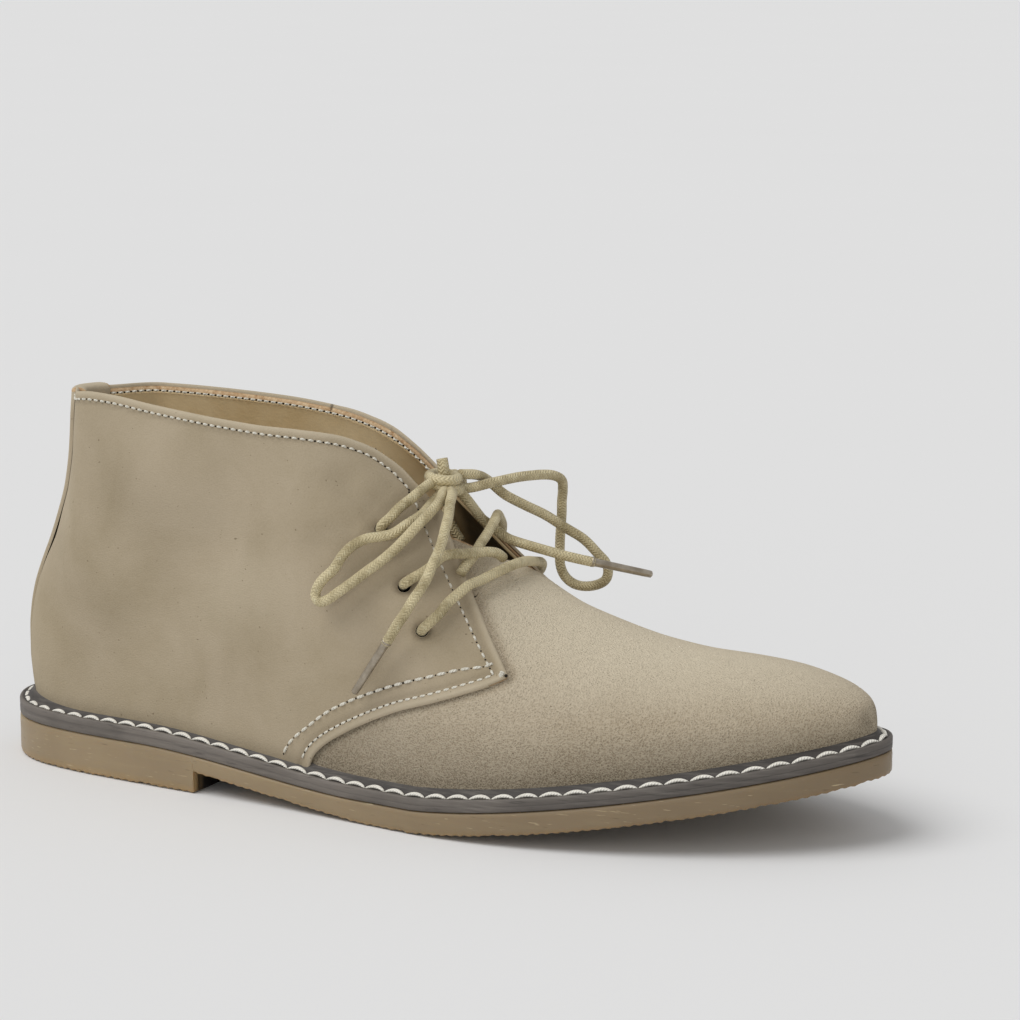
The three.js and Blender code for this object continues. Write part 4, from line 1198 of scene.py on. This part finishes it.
def backstay():
    """The strip down the back seam, and the tab where it folds over the collar, with a raw edge on top."""
    half = BACKSTAY_WIDTH / 2
    points, faces = strip_sheet(half, [(STRIP_LEVEL, z) for z in np.linspace(19.6, 113, 70)])
    strip = make("backstay_strip", points, faces, [NUBUCK], shade=np.full(len(points), 0.05))
    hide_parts("backstay")
    outside = [(2.42, z) for z in np.linspace(111.5, 120.2, 12)]
    over = [(STRIP_LEVEL, 120.7), (2.2, 121.1), (1.8, 121.4), (1.2, 121.6), (0.5, 121.7), (-0.6, 121.65),
            (-1.6, 121.4), (-2.3, 120.9), (-2.65, 120.3)]
    inside = [(-2.8, z) for z in np.linspace(119.6, 115, 6)]
    points, faces = strip_sheet(half + 0.15, outside + over + inside)
    # Painted highlight: the tab grows paler towards its top, where it turns over the collar.
    shade = 0.05 + 0.3 * ease((points[:, 2] - 112) / 7)
    tab = make("backstay_tab", points, faces, [NUBUCK, RAW], shade=shade)
    for face in tab.data.polygons:
        if face.center[2] * 1000 > 120.3 and abs(face.center[1] * 1000) > half - 0.75:
            face.material_index = 1


backstay()


# ---- Stitches ----
def stitch(heap, ends, normals, radius, sink, lift):
    """One stitch between two needle holes, arched a little and dipping in at both ends."""
    a, b = ends
    n0, n1 = normals
    t = np.linspace(0, 1, 7)[:, None]
    normal = n0 * (1 - t) + n1 * t
    arch = -sink + (lift + sink) * np.sin(np.pi * t) ** 0.6
    radii = radius * (0.62 + 0.38 * np.sin(np.pi * t[:, 0]) ** 0.5)
    heap.add(*tube(a + (b - a) * t + normal * arch, radii, 8, 0.85, normal))


# A near-black plug in a needle hole: painted shadow inside the hole.
def needle_hole_shadow(heap, point, normal, depths, radii):
    heap.add(*tube(point + normal * np.array(depths)[:, None], np.array(radii), 8))


def stitch_row(heap, holes, row, pitch, share, radius, sink, lift):
    """Stitches along a row of (point, normal), each over a share of its pitch, with a painted shadow in the
    hole between two.
    """
    points, normals = np.array(row).transpose(1, 0, 2)
    run = run_of(points)
    count = max(1, int(round(run[-1] / pitch)))
    pitch = run[-1] / count

    def at(place):
        s = place * pitch
        p, n = (np.array([np.interp(s, run, table[:, k]) for k in range(3)]) for table in (points, normals))
        return p, unit(n)

    for i in range(count):
        (a, n0), (b, n1) = at(i + (1 - share) / 2), at(i + (1 + share) / 2)
        stitch(heap, (a, b), (n0, n1), radius, sink, lift)
        needle_hole_shadow(holes, *at(i + 1), (-0.4, -0.08, 0.05), (0.3, 0.34, 0.26))


def side_row(line, side, level):
    """A row over points (x, z) seen from the side."""
    return [spot_and_normal(station_at(x), side, z, level) for x, z in line]


def shifted(line, distance):
    """A side-view line moved to its left."""
    return line + to_left(unit(np.gradient(line, axis=0))) * distance


def collar_row(below, level, side, to_x):
    """A row that follows the collar from the back seam to the front, a distance below its edge."""
    edge, normals, stations = [], [], []
    for u in np.arange(2.2, station_at(to_x), 0.7):
        low, high = 70.0, 126.0
        for _ in range(22):
            z = (low + high) / 2
            p = spot(u, side, z, 0.0)
            if z < collar_height(p[0], p[1]):
                low = z
            else:
                high = z
        p, n = spot_and_normal(u, side, low, level)
        edge.append(p)
        normals.append(n)
        stations.append(u)
    edge, normals = np.array(edge), np.array(normals)
    down = unit(np.cross(np.gradient(edge, axis=0), normals))
    down *= np.where(down[:, 2] > 0, -1, 1)[:, None]
    row = []
    for u, lower in zip(stations, edge + down * below):
        place = u if lower[0] < 45 else station_at(lower[0])
        point, normal = spot_and_normal(place, side, lower[2], level)
        if not row or (point[0] > row[-1][0][0] and abs(point[2] - row[-1][0][2]) < 2.5):
            row.append((point, normal))
    return row


def sew():
    """Every row of cream stitches, the bar tack at each facing's corner, and a near-black plug of painted
    shadow in each of their needle holes.
    """
    cream, holes = Heap(), Heap()
    low = evenly(smooth(QUARTER_EDGE), 1.0)
    low = shifted(low[(low[:, 1] > 14.5) & (low[:, 0] < 193)], 2.8)
    high = evenly(smooth(FACING_EDGE), 1.0)
    high = shifted(high[(high[:, 0] < 194.5) & (high[:, 0] > 153.2)], 2.6)
    upper = evenly(smooth(UPPER_ROW), 1.0)
    for side in (-1, 1):
        # Row, pitch, share of it that a stitch covers, thread's radius, sink at the ends, lift between them.
        for row, *sizes in (
            (side_row(low, side, PROUD), 2.6, 0.68, 0.36, 0.25, 0.22),
            (side_row(upper, side, PROUD), 3.7, 0.72, 0.46, 0.25, 0.28),
            (side_row(high, side, PROUD), 3.3, 0.52, 0.38, 0.25, 0.22),
            (collar_row(1.6, PROUD, side, 152), 2.6, 0.55, 0.38, 0.25, 0.22),
            (collar_row(1.5, -WALL - 0.1, side, 145 + 7 * side), 2.6, 0.6, 0.42, -0.05, -0.4),
        ):
            stitch_row(cream, holes, row, *sizes)
        (a, n0), (b, n1) = side_row(((193.2, 49.4), (194.6, 49.0)), side, PROUD + 0.1)
        for k in range(4):
            shift = np.array([0.25 * k - 0.4, 0, 0.5 * k - 0.7])
            stitch(cream, (a + shift, b + shift), (n0, n1), 0.34, 0.1, 0.35)
        # The bar tack's needle hole also gets a plug of painted shadow.
        needle_hole_shadow(holes, b + np.array([0.9, 0, 0.2]), n1, (-0.3, 0.15, 0.32), (0.5, 0.5, 0.4))
    piece = cream.make("stitches", [CREAM])
    piece = holes.make("needle_hole_shadows", [HOLE_SHADOW])


sew()


# ---- Outsole ----
def welt_lap(x):
    """How far the welt runs down over the outsole towards the heel."""
    return 1.1 * ease((170 - x) / 120)


def slices(inset, xs):
    """Outer and inner edge points of the sole at each place along it, with their inward directions."""
    table = np.concatenate([inset_outline(inset), inward(SOLE)], 1)
    return [np.stack([np.interp(xs, side[:, 0], side[:, k]) for k in range(4)], 1)
            for side in branches(table)]


def sole_stations(inset, step):
    """Places along the sole, closer together at the heel and the toe."""
    heel_part, toe_part = 14, 16
    outline = inset_outline(inset)
    low, high = outline[:, 0].min() + 1e-3, outline[:, 0].max() - 1e-3
    ends = 1 - np.cos(np.linspace(0, np.pi / 2, 40))
    between = np.arange(low + heel_part, high - toe_part, step)
    return np.concatenate([low + heel_part * ends[:-1], between, high - toe_part * ends[::-1]])


def outsole():
    """The gum sole: its side with a scalloped, chipped lower edge, its tread and its top."""
    xs = np.sort(np.concatenate([sole_stations(0, 0.6), [HEEL_LENGTH, HEEL_LENGTH + 0.01]]))
    count = len(xs)
    # Rows up the side: share of the height, how far in, and shade (0 thin with a painted amber glow, 1
    # thick).
    rows = ((0.0, 1.1, 0.0), (0.0, 0.55, 0.0), (0.035, 0.22, 0.1), (0.1, 0.05, 0.3), (0.3, 0.0, 0.75),
            (0.55, 0.05, 1.0), (0.8, 0.0, 1.0), (0.95, 0.1, 1.0), (1.0, 0.5, 1.0))
    bottom, top = underside(xs), gum_height(xs) - GAP / 2 - welt_lap(xs)
    rng = np.random.default_rng(4)
    chips = rng.normal(0, 1, (2, count))
    chips = np.stack([np.convolve(c, np.ones(5) / 5, "same") for c in chips])
    edges = slices(0, xs)
    waves = [1 + np.cos(2 * np.pi * run_of(edge[:, :2]) / SCALLOP_PITCH) for edge in edges]
    points, shade = [], []
    for share, depth, tone in rows:
        for edge, wave, chip in zip(edges, waves, chips):
            scallop = 0.22 * wave * max(0, 1 - share * 9)
            chip = np.clip(chip, 0, 1) * 0.5 * max(0, 1 - share * 7)
            xy = edge[:, :2] + edge[:, 2:] * (depth + chip * 0.4)[:, None]
            z = bottom + (top - bottom) * share + scallop * 0.8 + chip * 0.5
            points.append(np.concatenate([xy, z[:, None]], 1))
            shade.append(np.full(count, tone))
    lowest, highest = points[:2], points[-2:]
    shares = np.arange(1, 9) / 9
    # Painted shadow on the underside in the hollow behind the heel's breast.
    hollow = ease((xs - HEEL_LENGTH + 0.4) / 0.3) * ease((HEEL_LENGTH + 30 - xs) / 25)
    floor_rows = list(range(len(points), len(points) + len(shares)))
    for t in shares:
        row = lowest[0] * (1 - t) + lowest[1] * t
        row[:, 2] = bottom
        points.append(row)
        shade.append(0.7 - 1.9 * hollow)
    roof_rows = list(range(len(points), len(points) + len(shares)))
    for t in shares:
        points.append(highest[0] * (1 - t) + highest[1] * t)
        shade.append(np.full(count, 1.0))
    last = 2 * (len(rows) - 1)
    loop = list(range(0, last + 1, 2)) + roof_rows + list(range(last + 1, 0, -2)) + floor_rows[::-1]
    ring = loop + loop[:1]
    faces = skin(ring, count).tolist()
    kinds = np.repeat([a in floor_rows or b in floor_rows for a, b in zip(ring, ring[1:])], count - 1)
    faces += [[a * count for a in loop], [a * count + count - 1 for a in loop[::-1]]]
    piece = make("outsole_gum", np.concatenate(points), faces, [GUM, TREAD], kinds.tolist() + [0, 0],
                 shade=np.concatenate(shade))
    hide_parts("outsole")


outsole()


# ---- Welt ----
def welt():
    """The dark strip round the sole, and the heavy lockstitches in its groove."""
    outline = evenly(SOLE, 0.9, True)
    normal = inward(outline)
    thick = WELT_THICKNESS - GAP / 2
    # Rows of (inset, height, painted shade) from the bottom edge, up the side and over the slope to the
    # upper; the shade is deepest in the stitch groove and on the slope.
    profile = (
        (2.0, -thick, 0.5), (0.35, -thick, 0.3), (0.05, -thick + 0.3, 0.15), (0.0, -3.4, 0.1),
        (0.07, -3.2, 0.4), (0.0, -3.0, 0.1), (0.0, -1.6, 0.0), (0.15, -1.25, 0.0), (0.5, -1.05, 0.1),
        (0.95, -1.0, 0.4), (1.3, -1.35, 0.9), (2.6, -1.1, 1.0), (3.1, -0.4, 0.9), (4.0, 0.5, 0.95),
        (4.6, 1.15, 0.7), (5.0, 1.55, 0.3), (5.5, 1.4, 0.3), (8.0, -0.1, 0.9), (9.5, -2.0, 0.9),
    )
    points, shade = [], []
    for inset, z, tone in profile:
        xy = outline + normal * inset
        points.append(np.concatenate([xy, (welt_height(xy[:, 0]) + z)[:, None]], 1))
        # Painted shade, darker towards the toe.
        shade.append(tone + 0.5 * ease((outline[:, 0] - 110) / 150))
    for row in points[:4]:
        row[:, 2] -= welt_lap(row[:, 0])
    faces = skin(range(len(profile)), len(outline), True)
    piece = make("welt_strip", np.concatenate(points), faces, [WELT], shade=np.concatenate(shade))
    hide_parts("welt")
    heap = Heap()
    steps = 10
    line = evenly(inset_outline(WELT_STITCH_INSET), WELT_STITCH_PITCH / steps, True)
    around = length_of(np.concatenate([line, line[:1]]))
    count = int(round(around / WELT_STITCH_PITCH))
    line = evenly(line, around / (count * steps), True)
    out = -inward(line)
    hump = np.sin(np.pi * np.linspace(0, 1, steps + 1)) ** 0.75
    up = np.tile([0.0, 0.0, 1.0], (steps + 1, 1))
    for i in range(count):
        index = (np.arange(steps + 1) + i * steps) % len(line)
        xy = line[index] + out[index] * (0.45 - 0.9 * hump)[:, None]
        z = welt_height(xy[:, 0]) - 1.45 - 0.55 * ease((70 - xy[:, 0]) / 50) + 0.95 * hump
        heap.add(*tube(np.concatenate([xy, z[:, None]], 1), 0.2 + 0.6 * hump, 10, 0.75, up))
    piece = heap.make("welt_stitches", [WAXED])


welt()


# ---- Sock ----
def sock():
    """The leather sock on the insole, cupped a little at its edges and turned down round them."""
    inset = WELT_LEDGE + WALL + 0.5
    xs = sole_stations(inset, 1.5)
    outer, inner = slices(inset, xs)
    place = xs + 3.4 * np.clip(1 - xs / 60, 0, 1) ** 2
    points = []
    for t in np.arange(16) / 15:
        y = outer[:, 1] * (1 - t) + inner[:, 1] * t
        z = welt_height(xs) + GAP + 2.1 + 0.9 * np.abs(2 * t - 1) ** 4
        points.append(np.stack([place, y, z], 1))
    down = np.array([0, 0, 2.9])
    points = [points[0] - down] + points + [points[-1] - down]
    piece = make("sock", np.concatenate(points), skin(range(len(points)), len(xs)), [SOCK])
    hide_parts("insole")


sock()


# ---- Floor and light ----
def stage():
    """A plain pale floor, soft light all round and two soft suns."""
    mesh = bpy.data.meshes.new("floor")
    size = 60.0
    corners = [(-size, -size, 0), (size, -size, 0), (size, size, 0), (-size, size, 0)]
    mesh.from_pydata(corners, [], [(0, 1, 2, 3)])
    paint = Paint("floor_paper", Roughness=0.9, Specular_IOR_Level=0.0)
    paint.into("Base Color", paint.mix(paint.noise(3, 2, 0.5), "E9E9E9", "EAEAEA"))
    mesh.materials.append(paint.material)
    floor = bpy.data.objects.new("floor", mesh)
    floor.location.z = -0.0002
    bpy.context.scene.collection.objects.link(floor)
    world = bpy.data.worlds.new("studio")
    world.use_nodes = True
    background = world.node_tree.nodes["Background"].inputs
    background["Color"].default_value = (1.0, 1.0, 1.0, 1.0)
    background["Strength"].default_value = 0.46
    bpy.context.scene.world = world
    for name, azimuth, elevation, strength, spread in (
        ("key", -42, 60, 1.45, 45),
        ("fill", 15, 14, 0.5, 60),
    ):
        data = bpy.data.lights.new(name, "SUN")
        data.energy = strength
        data.angle = math.radians(spread)
        light = bpy.data.objects.new(name, data)
        a, e = math.radians(azimuth), math.radians(elevation)
        direction = Vector((math.sin(a) * math.cos(e), -math.cos(a) * math.cos(e), math.sin(e)))
        light.rotation_euler = direction.to_track_quat("Z", "Y").to_euler()
        bpy.context.scene.collection.objects.link(light)
    bpy.context.scene.view_settings.view_transform = "Standard"


stage()
